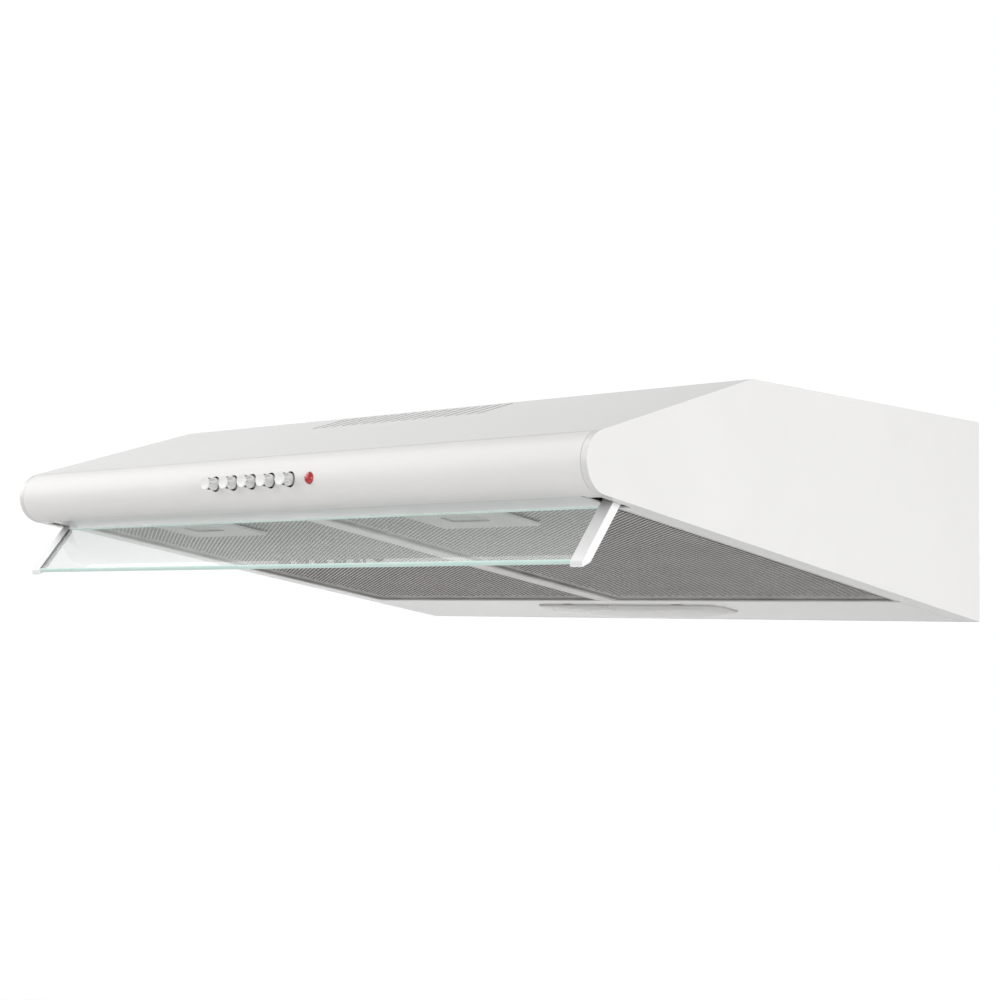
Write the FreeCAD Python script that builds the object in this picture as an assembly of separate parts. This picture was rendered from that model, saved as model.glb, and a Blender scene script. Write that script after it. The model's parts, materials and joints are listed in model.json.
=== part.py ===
import FreeCAD, Part
import math
import os

from FreeCAD import Vector

# Under-cabinet range hood, 60 cm class. Millimetres, +Z up.
# Origin: middle of the width, on the wall plane (y = 0), at the hood's bottom back edge.
# The front of the hood points along -Y.

# ---- driving sizes: casing ----
WIDTH = 598.0            # outside of one side panel to outside of the other
DEPTH = 483.0            # wall plane to the foremost point of the front roll
HEIGHT = 157.2           # bottom back edge to the flat top
SLOPE_RUN = 170.0        # foremost point back to the crease where the top starts to slope
ROLL_RADIUS = 20.0       # round front edge
ROLL_HEIGHT = 90.8       # height of the front roll's centre
SHEET = 1.0              # casing sheet thickness
FLANGE_WIDTH = 17.0      # inward bottom flange of each side panel
RIM_WIDTH = 5.0          # inward rim of each side panel round the roll's end
HEM_HEIGHT = 11.0        # upturned edge beside each filter
HEM_RELIEF = 3.0         # the hem starts this far in front of the back panel
STRIP_LENGTH = 92.5      # rear bottom strip that carries the lamp
RAIL_WIDTH = 32.9        # front bottom rail, from the filters to the front roll
LIP_HEIGHT = 2.6         # upturned lip that a filter rests on
FIT = 0.3                # gap between neighbouring sheet edges
RUN = 0.05               # radial clearance of a pin or shaft in its hole
FASCIA_THICKNESS = 1.5
FASCIA_SEAM_ANGLE = 67.0  # seam between top cover and fascia, degrees above the foremost point

# ---- driving sizes: vents in the sloping top ----
VENT_COUNT = 17
VENT_PITCH = 11.15
VENT_WIDTH = 4.0
VENT_START = 3.5         # crease to the slot's upper end, down the slope
VENT_LENGTH = 39.5

# ---- driving sizes: grease filters ----
DIVIDER_WIDTH = 16.0
FILTER_THICKNESS = 9.0
FILTER_RECESS = 0.2      # filter face above the flange plane
FILTER_SIDE_GAP = 1.2
FILTER_REAR_GAP = 0.8
FILTER_FRONT_GAP = 1.0
FRAME_SHEET = 0.8
FRAME_WALL = 1.2
FRAME_LIP = 2.0
PLATE_WIDTH = 89.0       # latch plate at the filter's front edge
PLATE_LENGTH = 43.5
PLATE_RAISE = 1.9        # latch plate stands this far proud of the filter face
PLATE_SHIFT = 5.0        # latch plate centre from its filter's centre, towards the divider
LATCH_WIDTH = 28.0
LATCH_TRAVEL = 5.0
LATCH_BOLT = 5.5         # bolt length past the filter's front edge

# ---- driving sizes: glass visor ----
PIVOT_SETBACK = 24.7     # visor pivot behind the roll's start, along the underside
PIVOT_N = 3.9            # and above the underside, square to it
VISOR_ANGLE = 51.9       # visor below the horizontal, degrees
ARM_INSET = 9.0          # outer face of a visor arm from the hood's end
ARM_WIDTH = 10.0
ARM_THICKNESS = 6.5
ARM_REACH = 55.0         # pivot to the arm's tip
ARM_EYE = 4.0            # radius of the arm's round end
GLASS_THICKNESS = 4.0
GLASS_TOP = 7.5          # pivot to the glass's upper edge
GLASS_BOTTOM = 52.2      # pivot to the glass's lower edge
GLASS_STANDOFF = 2.7     # pivot to the glass's front face
VISOR_PIN_RADIUS = 2.0

# ---- driving sizes: buttons and indicator ----
BUTTON_NAMES = ["button_lamp", "button_low", "button_medium", "button_high", "button_off"]
BUTTON_FIRST_X = -47.5
BUTTON_PITCH = 20.3
BUTTON_RADIUS = 4.8
BUTTON_PROUD = 9.5
BUTTON_TRAVEL = 3.0
BUTTON_STEM_RADIUS = 2.5
BUTTON_HOLE_GAP = 0.8
INDICATOR_X = 54.0
INDICATOR_RADIUS = 4.0
INDICATOR_PROUD = 2.5

# ---- driving sizes: lamp unit ----
LENS_FRONT_S = 75.0      # straight front edge of the lens opening
LENS_BACK_S = 12.0
LENS_HALF_WIDTH = 102.0
LENS_CORNER = 12.0
LENS_SHOULDER_S = 45.0
LENS_GAP = 0.8
LENS_DROP = 2.4          # lens face below the strip
REFLECTOR_HEIGHT = 36.0
REFLECTOR_HALF_WIDTH = 112.0
BULB_RADIUS = 13.0
BULB_LENGTH = 62.0

# ---- driving sizes: fan and ducting ----
FAN_X = -178.0
FAN_Y = -165.0
FAN_RADIUS = 70.0
BLADE_DEPTH = 15.0
BLADE_COUNT = 32
SCROLL_HEIGHT = 76.2
SCROLL_POST = 4.0        # scroll roof to the top cover
SCROLL_WALL = 1.2
SCROLL_SMALL = 78.0      # scroll wall from the fan axis where it starts
SCROLL_LARGE = 112.0     # and where it ends
INLET_RADIUS = 60.0
MOTOR_RADIUS = 42.0
MOTOR_HEIGHT = 44.0
SHAFT_RADIUS = 4.0
CHARCOAL_RADIUS = 72.0
CHARCOAL_THICKNESS = 21.5
DUCT_RADIUS = 60.0
DUCT_Y = -105.0
DUCT_PROUD = 24.0        # duct collar above the flat top
DUCT_WALL = 1.2
FLAP_PIN_RADIUS = 1.5
FLAP_HEIGHT = 5.0        # damper pin above the flat top

# ---- driving sizes: fixings ----
CABINET_SPACING_X = 480.0
CABINET_SPACING_Y = 200.0
CABINET_CENTRE_Y = -160.0
CABINET_HOLE = 3.0
WALL_SPACING = 500.0
WALL_HOLE = 3.0
WALL_HOLE_Z = 120.0
SCREW_SHANK = 1.5
SCREW_HEAD = 3.0
SCREW_HEAD_HEIGHT = 0.8  # countersunk, flush with the flat top

# ---- derived sizes ----
HALF = WIDTH / 2
CREASE_DEPTH = DEPTH - SLOPE_RUN
INNER_HALF = HALF - SHEET
ROLL_Y = -(DEPTH - ROLL_RADIUS)
ROLL_DISTANCE = math.hypot(ROLL_Y, ROLL_HEIGHT)
UNDER_ANGLE = math.atan2(ROLL_HEIGHT, -ROLL_Y) - math.asin(ROLL_RADIUS / ROLL_DISTANCE)
CREASE_RUN = -ROLL_Y - CREASE_DEPTH
CREASE_DROP = HEIGHT - ROLL_HEIGHT
CREASE_DISTANCE = math.hypot(CREASE_RUN, CREASE_DROP)
ROOF_ANGLE = math.atan2(CREASE_DROP, CREASE_RUN) - math.asin(ROLL_RADIUS / CREASE_DISTANCE)
UNDER_END = math.sqrt(ROLL_Y ** 2 + ROLL_HEIGHT ** 2 - ROLL_RADIUS ** 2)
HEM_X = HALF - FLANGE_WIDTH
FILTER_START = STRIP_LENGTH + FILTER_REAR_GAP
RAIL_START = UNDER_END - RAIL_WIDTH
FILTER_END = RAIL_START - FILTER_FRONT_GAP
FILTER_INNER = DIVIDER_WIDTH / 2 + FILTER_SIDE_GAP
FILTER_OUTER = HEM_X - FILTER_SIDE_GAP
PLATE_CENTRE = (FILTER_INNER + FILTER_OUTER) / 2 - PLATE_SHIFT
ARM_OUTER = HALF - ARM_INSET
PIVOT_S = UNDER_END - PIVOT_SETBACK
RAIL_HALF = ARM_OUTER - ARM_WIDTH - FIT
LIP_TOP = SHEET + LIP_HEIGHT
PLATE_FACE = FILTER_RECESS - PLATE_RAISE
BUTTON_XS = [BUTTON_FIRST_X + BUTTON_PITCH * i for i in range(len(BUTTON_NAMES))]
NOTCH_START = PIVOT_S - 10.7
NOTCH_END = PIVOT_S + 19.3
NOTCH_OUTER = ARM_OUTER + 1.5
TOP_UNDER = HEIGHT - SHEET
SCROLL_TOP = TOP_UNDER - SCROLL_POST
SCROLL_BOTTOM = SCROLL_TOP - SCROLL_HEIGHT


# ---- geometry helpers ----
def box(x0, x1, y0, y1, z0, z1):
    """A box between two corners."""
    return Part.makeBox(x1 - x0, y1 - y0, z1 - z0, Vector(x0, y0, z0))


def tilt(shape):
    """Turns a shape drawn flat so that it lies along the sloping underside."""
    placed = shape.copy()
    placed.rotate(Vector(0, 0, 0), Vector(1, 0, 0), -math.degrees(UNDER_ANGLE))
    return placed


def under_box(x0, x1, s0, s1, n0, n1):
    """A box on the underside: s runs forward along it from the wall, n square to it and up."""
    return tilt(box(x0, x1, -s1, -s0, n0, n1))


def under_point(s, n, x=0.0):
    """The place of an underside point (s, n)."""
    c = math.cos(UNDER_ANGLE)
    k = math.sin(UNDER_ANGLE)
    return Vector(x, -s * c + n * k, s * k + n * c)


def roof(shape):
    """Places a shape drawn flat about the crease so that it lies along the sloping top."""
    placed = shape.copy()
    placed.rotate(Vector(0, 0, 0), Vector(1, 0, 0), math.degrees(ROOF_ANGLE))
    placed.translate(Vector(0, -CREASE_DEPTH, HEIGHT))
    return placed


def roll_point(radius, degrees):
    """A point round the front roll, degrees counted up from its foremost point."""
    a = math.radians(degrees)
    return (ROLL_Y - radius * math.cos(a), ROLL_HEIGHT + radius * math.sin(a))


def prism(edges, x0, x1):
    """Extrudes a closed (y, z) outline between two x places."""
    face = Part.Face(Part.Wire(edges))
    solid = face.extrude(Vector(x1 - x0, 0, 0))
    solid.translate(Vector(x0, 0, 0))
    return solid


def at(point):
    """A (y, z) pair as a vector at x = 0."""
    return Vector(0, point[0], point[1])


def line(a, b):
    return Part.LineSegment(at(a), at(b)).toShape()


def arc(a, b, c):
    return Part.Arc(at(a), at(b), at(c)).toShape()


ROLL_TOP = 90 - math.degrees(ROOF_ANGLE)
ROLL_BOTTOM = -(90 - math.degrees(UNDER_ANGLE))


def crease_point(d):
    """The crease of the outline moved d inward."""
    half = math.tan(ROOF_ANGLE / 2)
    return (-CREASE_DEPTH + d * half, HEIGHT - d)


def casing(d, x0, x1):
    """The side outline moved d inward, as a solid between two x places."""
    low = (-d, (d + d * math.sin(UNDER_ANGLE)) / math.cos(UNDER_ANGLE))
    radius = ROLL_RADIUS - d
    bottom = roll_point(radius, ROLL_BOTTOM)
    nose = roll_point(radius, 0)
    top = roll_point(radius, ROLL_TOP)
    crease = crease_point(d)
    back = (-d, HEIGHT - d)
    edges = [
        line(low, bottom),
        arc(bottom, nose, top),
        line(top, crease),
        line(crease, back),
        line(back, low),
    ]
    return prism(edges, x0, x1)


def roll_band(outer, inner, start, end, x0, x1):
    """A curved strip of the front roll between two radii and two angles."""
    mid = (start + end) / 2
    edges = [
        arc(roll_point(outer, start), roll_point(outer, mid), roll_point(outer, end)),
        line(roll_point(outer, end), roll_point(inner, end)),
        arc(roll_point(inner, end), roll_point(inner, mid), roll_point(inner, start)),
        line(roll_point(inner, start), roll_point(outer, start)),
    ]
    return prism(edges, x0, x1)


def roof_band(d0, d1, back, x0, x1):
    """The flat and the sloping top between two depths, from y = -back to where the roll starts."""
    edges = [
        line((-back, HEIGHT - d0), crease_point(d0)),
        line(crease_point(d0), roll_point(ROLL_RADIUS - d0, ROLL_TOP)),
        line(roll_point(ROLL_RADIUS - d0, ROLL_TOP), roll_point(ROLL_RADIUS - d1, ROLL_TOP)),
        line(roll_point(ROLL_RADIUS - d1, ROLL_TOP), crease_point(d1)),
        line(crease_point(d1), (-back, HEIGHT - d1)),
        line((-back, HEIGHT - d1), (-back, HEIGHT - d0)),
    ]
    return prism(edges, x0, x1)


def upright(radius, z0, z1, x=0.0, y=0.0):
    """A cylinder along Z."""
    return Part.makeCylinder(radius, z1 - z0, Vector(x, y, z0))


def along_y(radius, y0, y1, x, z):
    """A cylinder along Y."""
    return Part.makeCylinder(radius, y1 - y0, Vector(x, y0, z), Vector(0, 1, 0))


def along_x(radius, x0, x1, y, z):
    """A cylinder along X."""
    return Part.makeCylinder(radius, x1 - x0, Vector(x0, y, z), Vector(1, 0, 0))


def joined(solids):
    """Several touching or overlapping solids as one."""
    return solids[0].multiFuse(solids[1:]).removeSplitter()


def mirrored(shape):
    """The same shape on the other side of the hood."""
    return shape.mirror(Vector(0, 0, 0), Vector(1, 0, 0))


def save(shape, node):
    shape.exportStep(f"parts/{node}.step")


def save_pair(shape, node):
    """Saves a right-hand piece and its left-hand mirror image."""
    save(shape, f"{node}_right")
    save(mirrored(shape), f"{node}_left")


# ---- casing ----
def lens_outline(gap, n0, n1):
    """The D-shaped lens outline, drawn inward by gap: straight front edge, arched back."""
    half = LENS_HALF_WIDTH - gap
    front = -(LENS_FRONT_S - gap)
    shoulder = -LENS_SHOULDER_S
    back = -(LENS_BACK_S + gap)
    k = LENS_CORNER * (1 - math.sqrt(0.5))
    p = [
        Vector(-half, shoulder, n0),
        Vector(-half, front + LENS_CORNER, n0),
        Vector(-half + k, front + k, n0),
        Vector(-half + LENS_CORNER, front, n0),
        Vector(half - LENS_CORNER, front, n0),
        Vector(half - k, front + k, n0),
        Vector(half, front + LENS_CORNER, n0),
        Vector(half, shoulder, n0),
        Vector(0, back, n0),
    ]
    edges = [
        Part.LineSegment(p[0], p[1]).toShape(),
        Part.Arc(p[1], p[2], p[3]).toShape(),
        Part.LineSegment(p[3], p[4]).toShape(),
        Part.Arc(p[4], p[5], p[6]).toShape(),
        Part.LineSegment(p[6], p[7]).toShape(),
        Part.Arc(p[7], p[8], p[0]).toShape(),
    ]
    return Part.Face(Part.Wire(edges)).extrude(Vector(0, 0, n1 - n0))


def vent_slot(x):
    """One long round-ended slot through the sloping top."""
    start = VENT_START + VENT_WIDTH / 2
    end = VENT_START + VENT_LENGTH - VENT_WIDTH / 2
    reach = 3 * SHEET
    slot = box(x - VENT_WIDTH / 2, x + VENT_WIDTH / 2, -end, -start, -reach, reach)
    ends = [upright(VENT_WIDTH / 2, -reach, reach, x, -s) for s in (start, end)]
    return roof(joined([slot] + ends))


def cabinet_holes():
    places = []
    for sx in (-1, 1):
        for sy in (-1, 1):
            places.append((sx * CABINET_SPACING_X / 2, CABINET_CENTRE_Y + sy * CABINET_SPACING_Y / 2))
    return places


COVER_SCREW_XS = (14.0 - HALF, -120.0, 120.0, HALF - 14.0)
COVER_SCREW_Y = -8.0
GLAND_X = 240.0
GLAND_Y = -30.0
GLAND_THREAD = 7.5
GLAND_BORE = 4.5
GLAND_PROUD = 9.0
GLAND_NUT = 11.0
COLLAR_BEAD = 2.0        # the duct collar's foot is this much wider than the collar
CLAMP_RADIUS = DUCT_RADIUS + 12.0
CLAMP_THICKNESS = 1.4


def screw_head(x):
    """The cone of one countersunk head."""
    low = Vector(x, COVER_SCREW_Y, HEIGHT - SCREW_HEAD_HEIGHT)
    return Part.makeCone(SCREW_SHANK, SCREW_HEAD, SCREW_HEAD_HEIGHT, low)


def top_cover():
    """Flat and sloping top in one bent sheet, with the vents and the duct hole."""
    sheet = joined([
        roof_band(0, SHEET, SHEET, -INNER_HALF, INNER_HALF),
        roll_band(ROLL_RADIUS, ROLL_RADIUS - SHEET, FASCIA_SEAM_ANGLE, ROLL_TOP, -INNER_HALF, INNER_HALF),
    ])
    low = TOP_UNDER - SHEET
    high = HEIGHT + SHEET
    cuts = [vent_slot(VENT_PITCH * (i - (VENT_COUNT - 1) / 2)) for i in range(VENT_COUNT)]
    cuts.append(upright(DUCT_RADIUS + COLLAR_BEAD + FIT, low, high, 0, DUCT_Y))
    cuts.append(upright(GLAND_THREAD + RUN, low, high, GLAND_X, GLAND_Y))
    cuts += [upright(CABINET_HOLE, low, high, x, y) for x, y in cabinet_holes()]
    cuts += [upright(SCREW_SHANK + RUN, low, high, x, COVER_SCREW_Y) for x in COVER_SCREW_XS]
    cuts += [screw_head(x) for x in COVER_SCREW_XS]
    return sheet.cut(Part.makeCompound(cuts))


BACK_FLANGE = 12.0


def back_panel():
    """Upright sheet against the wall, with a flange that carries the top cover."""
    sheet = joined([
        box(-INNER_HALF, INNER_HALF, -SHEET, 0, 0, HEIGHT),
        box(-INNER_HALF, INNER_HALF, -SHEET - BACK_FLANGE, -SHEET, TOP_UNDER - SHEET, TOP_UNDER),
    ])
    cuts = [along_y(WALL_HOLE, -SHEET, 0, s * WALL_SPACING / 2, WALL_HOLE_Z) for s in (-1, 1)]
    reach = TOP_UNDER - SHEET
    cuts += [upright(SCREW_SHANK + RUN, reach, TOP_UNDER, x, COVER_SCREW_Y) for x in COVER_SCREW_XS]
    return sheet.cut(Part.makeCompound(cuts))


def side_panel():
    """Right side: flat panel, bottom flange with a hem, and a rim round the roll's end."""
    rim_inner = HALF - RIM_WIDTH
    back = SHEET + FIT
    pieces = [
        casing(0, INNER_HALF, HALF),
        roll_band(ROLL_RADIUS, ROLL_RADIUS - SHEET, ROLL_BOTTOM, FASCIA_SEAM_ANGLE, rim_inner, INNER_HALF),
        under_box(HEM_X, INNER_HALF, back, UNDER_END, 0, SHEET),
        under_box(HEM_X, HEM_X + SHEET, back + HEM_RELIEF, NOTCH_START, SHEET, SHEET + HEM_HEIGHT),
        roof_band(SHEET, 2 * SHEET, back + BACK_FLANGE, HALF - RIM_WIDTH - FLANGE_WIDTH / 2, INNER_HALF),
    ]
    notch = under_box(HEM_X - FIT, NOTCH_OUTER, NOTCH_START, NOTCH_END, -FIT, SHEET + HEM_HEIGHT)
    return joined(pieces).cut(notch)


def rear_bottom_panel():
    """Bottom strip by the wall, with the lens opening and the lip that carries the filters."""
    half = HEM_X - FIT
    sheet = joined([
        under_box(-half, half, SHEET + FIT, STRIP_LENGTH, 0, SHEET),
        under_box(-half, half, STRIP_LENGTH - SHEET, STRIP_LENGTH, SHEET, LIP_TOP),
    ])
    cuts = [tilt(lens_outline(0, -SHEET, 2 * SHEET))]
    notch_start = LENS_FRONT_S - SHEET
    notch_end = HINGE_S + HINGE_TAB_RADIUS + FIT
    for side in (-1, 1):
        x0 = side * HINGE_TAB_X - HINGE_TAB_WIDTH / 2 - FIT
        x1 = side * HINGE_TAB_X + HINGE_TAB_WIDTH / 2 + FIT
        cuts.append(under_box(x0, x1, notch_start, notch_end, -SHEET, 2 * SHEET))
    return sheet.cut(Part.makeCompound(cuts))


def filter_divider():
    """Bar between the two filters: a shallow channel open at the top."""
    half = DIVIDER_WIDTH / 2
    start = STRIP_LENGTH
    return joined([
        under_box(-half, half, start, RAIL_START, 0, SHEET),
        under_box(-half, -half + SHEET, start, RAIL_START, SHEET, SHEET + HEM_HEIGHT),
        under_box(half - SHEET, half, start, RAIL_START, SHEET, SHEET + HEM_HEIGHT),
    ])


def front_rail():
    """Bottom sheet between the filters and the front roll, with the lip that the latches catch."""
    return joined([
        under_box(-RAIL_HALF, RAIL_HALF, RAIL_START, UNDER_END, 0, SHEET),
        under_box(-RAIL_HALF, RAIL_HALF, RAIL_START, RAIL_START + SHEET, SHEET, LIP_TOP),
    ])


def front_fascia():
    """Rolled front trim with the holes for the buttons and the indicator."""
    half = HALF - RIM_WIDTH - FIT
    inner = ROLL_RADIUS - FASCIA_THICKNESS
    seam = FASCIA_SEAM_ANGLE - math.degrees(FIT / ROLL_RADIUS)
    band = roll_band(ROLL_RADIUS, inner, ROLL_BOTTOM, seam, -half, half)
    back = -DEPTH + 3 * FASCIA_THICKNESS
    front = -DEPTH - FASCIA_THICKNESS
    hole = BUTTON_RADIUS + BUTTON_HOLE_GAP
    cuts = [along_y(hole, front, back, x, ROLL_HEIGHT) for x in BUTTON_XS]
    cuts.append(along_y(INDICATOR_RADIUS + FIT, front, back, INDICATOR_X, ROLL_HEIGHT))
    return band.cut(Part.makeCompound(cuts))


def cover_screws():
    """Countersunk screws that hold the top cover to the back panel's flange."""
    group = []
    neck = HEIGHT - SCREW_HEAD_HEIGHT
    for x in COVER_SCREW_XS:
        shank = upright(SCREW_SHANK, TOP_UNDER - 6 * SHEET, neck, x, COVER_SCREW_Y)
        group.append(joined([shank, screw_head(x)]))
    return Part.makeCompound(group)


# ---- buttons, switch block and indicator ----
BLOCK_FRONT = -DEPTH + 22.0
BLOCK_BACK = BLOCK_FRONT + 19.8
BLOCK_LOW = ROLL_HEIGHT - 10.8
BLOCK_HIGH = ROLL_HEIGHT + 11.2
BLOCK_MARGIN = 12.0
STEM_END = BLOCK_FRONT + 9.0
SPRING_SEAT = BLOCK_FRONT + 16.0
SPRING_WIRE = 0.6
BLOCK_LEFT = BUTTON_XS[0] - BLOCK_MARGIN
BLOCK_RIGHT = INDICATOR_X + BLOCK_MARGIN


def button(x):
    """One push button: round face, narrow waist, wide skirt inside the fascia hole, and its stem."""
    front = -DEPTH - BUTTON_PROUD
    r = BUTTON_RADIUS
    waist = 0.74 * r
    skirt_back = front + BUTTON_PROUD + 7.0
    points = [
        Vector(x, front, ROLL_HEIGHT),
        Vector(x + r - 0.6, front, ROLL_HEIGHT),
        Vector(x + r, front + 0.6, ROLL_HEIGHT),
        Vector(x + r, front + 2.8, ROLL_HEIGHT),
        Vector(x + waist, front + 4.6, ROLL_HEIGHT),
        Vector(x + waist, front + 6.0, ROLL_HEIGHT),
        Vector(x + r, front + BUTTON_PROUD - 0.5, ROLL_HEIGHT),
        Vector(x + r, skirt_back, ROLL_HEIGHT),
        Vector(x + BUTTON_STEM_RADIUS, skirt_back, ROLL_HEIGHT),
        Vector(x + BUTTON_STEM_RADIUS, STEM_END, ROLL_HEIGHT),
        Vector(x, STEM_END, ROLL_HEIGHT),
        Vector(x, front, ROLL_HEIGHT),
    ]
    face = Part.Face(Part.makePolygon(points))
    return face.revolve(Vector(x, 0, ROLL_HEIGHT), Vector(0, 1, 0), 360)


def button_spring(x):
    """Return spring behind a button's stem, as a plain sleeve of the coil's size."""
    outer = BUTTON_STEM_RADIUS - 0.2
    start = STEM_END + FIT / 3
    sleeve = along_y(outer, start, SPRING_SEAT - FIT / 3, x, ROLL_HEIGHT)
    return sleeve.cut(along_y(outer - SPRING_WIRE, start, SPRING_SEAT, x, ROLL_HEIGHT))


def switch_block():
    """Block behind the fascia that guides the stems and holds the contacts."""
    block = box(BLOCK_LEFT, BLOCK_RIGHT, BLOCK_FRONT, BLOCK_BACK, BLOCK_LOW, BLOCK_HIGH)
    bore = BUTTON_STEM_RADIUS + RUN
    bores = [along_y(bore, BLOCK_FRONT, SPRING_SEAT, x, ROLL_HEIGHT) for x in BUTTON_XS]
    return block.cut(Part.makeCompound(bores))


def switch_bracket():
    """Angle bracket: foot on the front rail, upright behind the switch block."""
    upright_plate = box(BLOCK_LEFT, BLOCK_RIGHT, BLOCK_BACK, BLOCK_BACK + 1.2, 0, BLOCK_HIGH)
    inside = casing(SHEET, BLOCK_LEFT, BLOCK_RIGHT)
    foot_start = -BLOCK_BACK / math.cos(UNDER_ANGLE)
    foot = under_box(BLOCK_LEFT, BLOCK_RIGHT, foot_start, UNDER_END - 6.0, SHEET, SHEET + 1.2)
    return joined([upright_plate.common(inside), foot])


def indicator_lens():
    """Red domed indicator with its light pipe back to the switch block."""
    r = INDICATOR_RADIUS
    neck = 0.8 * r
    x = INDICATOR_X
    tip = -DEPTH - INDICATOR_PROUD
    collar_end = -DEPTH + 6.0
    side = math.sqrt(0.5)
    crown = Vector(x, tip, ROLL_HEIGHT)
    shoulder = Vector(x + r * side, -DEPTH - INDICATOR_PROUD * side, ROLL_HEIGHT)
    rim = Vector(x + r, -DEPTH, ROLL_HEIGHT)
    outline = [
        rim,
        Vector(x + r, collar_end, ROLL_HEIGHT),
        Vector(x + neck, collar_end, ROLL_HEIGHT),
        Vector(x + neck, BLOCK_FRONT, ROLL_HEIGHT),
        Vector(x, BLOCK_FRONT, ROLL_HEIGHT),
        crown,
    ]
    edges = [Part.Arc(crown, shoulder, rim).toShape()]
    edges += [Part.LineSegment(a, b).toShape() for a, b in zip(outline[:-1], outline[1:])]
    face = Part.Face(Part.Wire(edges))
    return face.revolve(Vector(x, 0, ROLL_HEIGHT), Vector(0, 1, 0), 360)


# ---- grease filters ----
FRAME_TOP = FILTER_RECESS + FILTER_THICKNESS
TAB_LENGTH = 8.0
TAB_WIDTH = 20.0
TAB_OFFSET = 75.0
SLIDE_LOW = PLATE_FACE + 1.2
SLIDE_BACK = FILTER_END - 31.5
BOLT_LOW = LIP_TOP + FIT
BOLT_THICKNESS = 2.1
SLIDE_HIGH = BOLT_LOW + BOLT_THICKNESS
RAIL_GUIDE = 1.5
SPRING_WALL_S = SLIDE_BACK - 9.0
WINDOW_HALF = 17.5
WINDOW_START = FILTER_END - 23.5
WINDOW_END = FILTER_END - 7.5
RIB_LENGTH = 9.0


def filter_frame():
    """Rolled frame round one filter: a channel open to the inside, with two hooks at the rear."""
    x0 = FILTER_INNER
    x1 = FILTER_OUTER
    low = FILTER_RECESS
    w = FRAME_WALL
    lip = FRAME_LIP
    s0 = FILTER_START
    s1 = FILTER_END
    skin = low + FRAME_SHEET
    body = under_box(x0, x1, s0, s1, low, FRAME_TOP)
    channel = under_box(x0 + w, x1 - w, s0 + w, s1 - w, skin, FRAME_TOP - FRAME_SHEET)
    window = under_box(x0 + lip, x1 - lip, s0 + lip, s1 - lip, low, FRAME_TOP)
    c = PLATE_CENTRE
    seat = under_box(c - PLATE_WIDTH / 2, c + PLATE_WIDTH / 2, s1 - lip, s1 - w, low, skin)
    half = LATCH_WIDTH / 2 + FIT
    bolt_hole = under_box(c - half, c + half, FILTER_END - w, FILTER_END, low, SLIDE_HIGH + FIT)
    middle = (x0 + x1) / 2
    tabs = []
    tab_low = LIP_TOP + FIT
    for side in (-1, 1):
        t0 = middle + side * TAB_OFFSET - TAB_WIDTH / 2
        tabs.append(under_box(t0, t0 + TAB_WIDTH, s0 - TAB_LENGTH, s0, tab_low, tab_low + w))
    frame = body.cut(Part.makeCompound([channel, window, seat, bolt_hole]))
    return joined([frame] + tabs)


def filter_mesh():
    """The filter's mesh layers: front and back sheet and one between, notched round the latch."""
    inset = FRAME_WALL + RUN
    x0 = FILTER_INNER + inset
    x1 = FILTER_OUTER - inset
    s0 = FILTER_START + inset
    s1 = FILTER_END - inset
    c = PLATE_CENTRE
    half = PLATE_WIDTH / 2 + 1.0
    notch_start = FILTER_END - PLATE_LENGTH - 1.0
    layers = []
    first = FILTER_RECESS + FRAME_SHEET
    last = FRAME_TOP - FRAME_SHEET
    thickness = 0.8
    for low in (first, (first + last - thickness) / 2, last - thickness):
        sheet = under_box(x0, x1, s0, s1, low, low + thickness)
        if low < last - thickness:
            sheet = sheet.cut(under_box(c - half, c + half, notch_start, s1, low, low + thickness))
        layers.append(sheet)
    return Part.makeCompound(layers)


def latch_plate():
    """Shallow pressed plate over the latch, with the finger window and the slide's guides."""
    c = PLATE_CENTRE
    x0 = c - PLATE_WIDTH / 2
    x1 = c + PLATE_WIDTH / 2
    s0 = FILTER_END - PLATE_LENGTH
    s1 = FILTER_END
    low = PLATE_FACE
    top = FILTER_RECESS
    t = 0.8
    tray = under_box(x0, x1, s0, s1, low, top).cut(under_box(x0 + t, x1 - t, s0 + t, s1 - t, low + t, top))
    g0 = LATCH_WIDTH / 2 + FIT
    g1 = g0 + RAIL_GUIDE
    wall_end = FILTER_END - 4.0
    high = SLIDE_HIGH + FIT
    guides = [
        under_box(c + g0, c + g1, SPRING_WALL_S, wall_end, low + t, high),
        under_box(c - g1, c - g0, SPRING_WALL_S, wall_end, low + t, high),
        under_box(c - g1, c + g1, SPRING_WALL_S - RAIL_GUIDE, SPRING_WALL_S, low + t, high),
    ]
    window = under_box(c - WINDOW_HALF, c + WINDOW_HALF, WINDOW_START, WINDOW_END, low, low + t)
    bolt_way = under_box(c - g0, c + g0, s1 - t, s1, low + t, top)
    return joined([tray] + guides).cut(Part.makeCompound([window, bolt_way]))


def filter_latch():
    """Sliding bolt with a finger rib that shows in the plate's window."""
    c = PLATE_CENTRE
    half = LATCH_WIDTH / 2
    nose = FILTER_END - 2.5
    rib_end = WINDOW_END - FIT
    return joined([
        under_box(c - half, c + half, SLIDE_BACK, nose, SLIDE_LOW, SLIDE_HIGH),
        under_box(c - half, c + half, nose, FILTER_END + LATCH_BOLT, BOLT_LOW, SLIDE_HIGH),
        under_box(c - half + 1.5, c + half - 1.5, rib_end - RIB_LENGTH, rib_end, PLATE_FACE + FIT, SLIDE_LOW),
    ])


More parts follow.
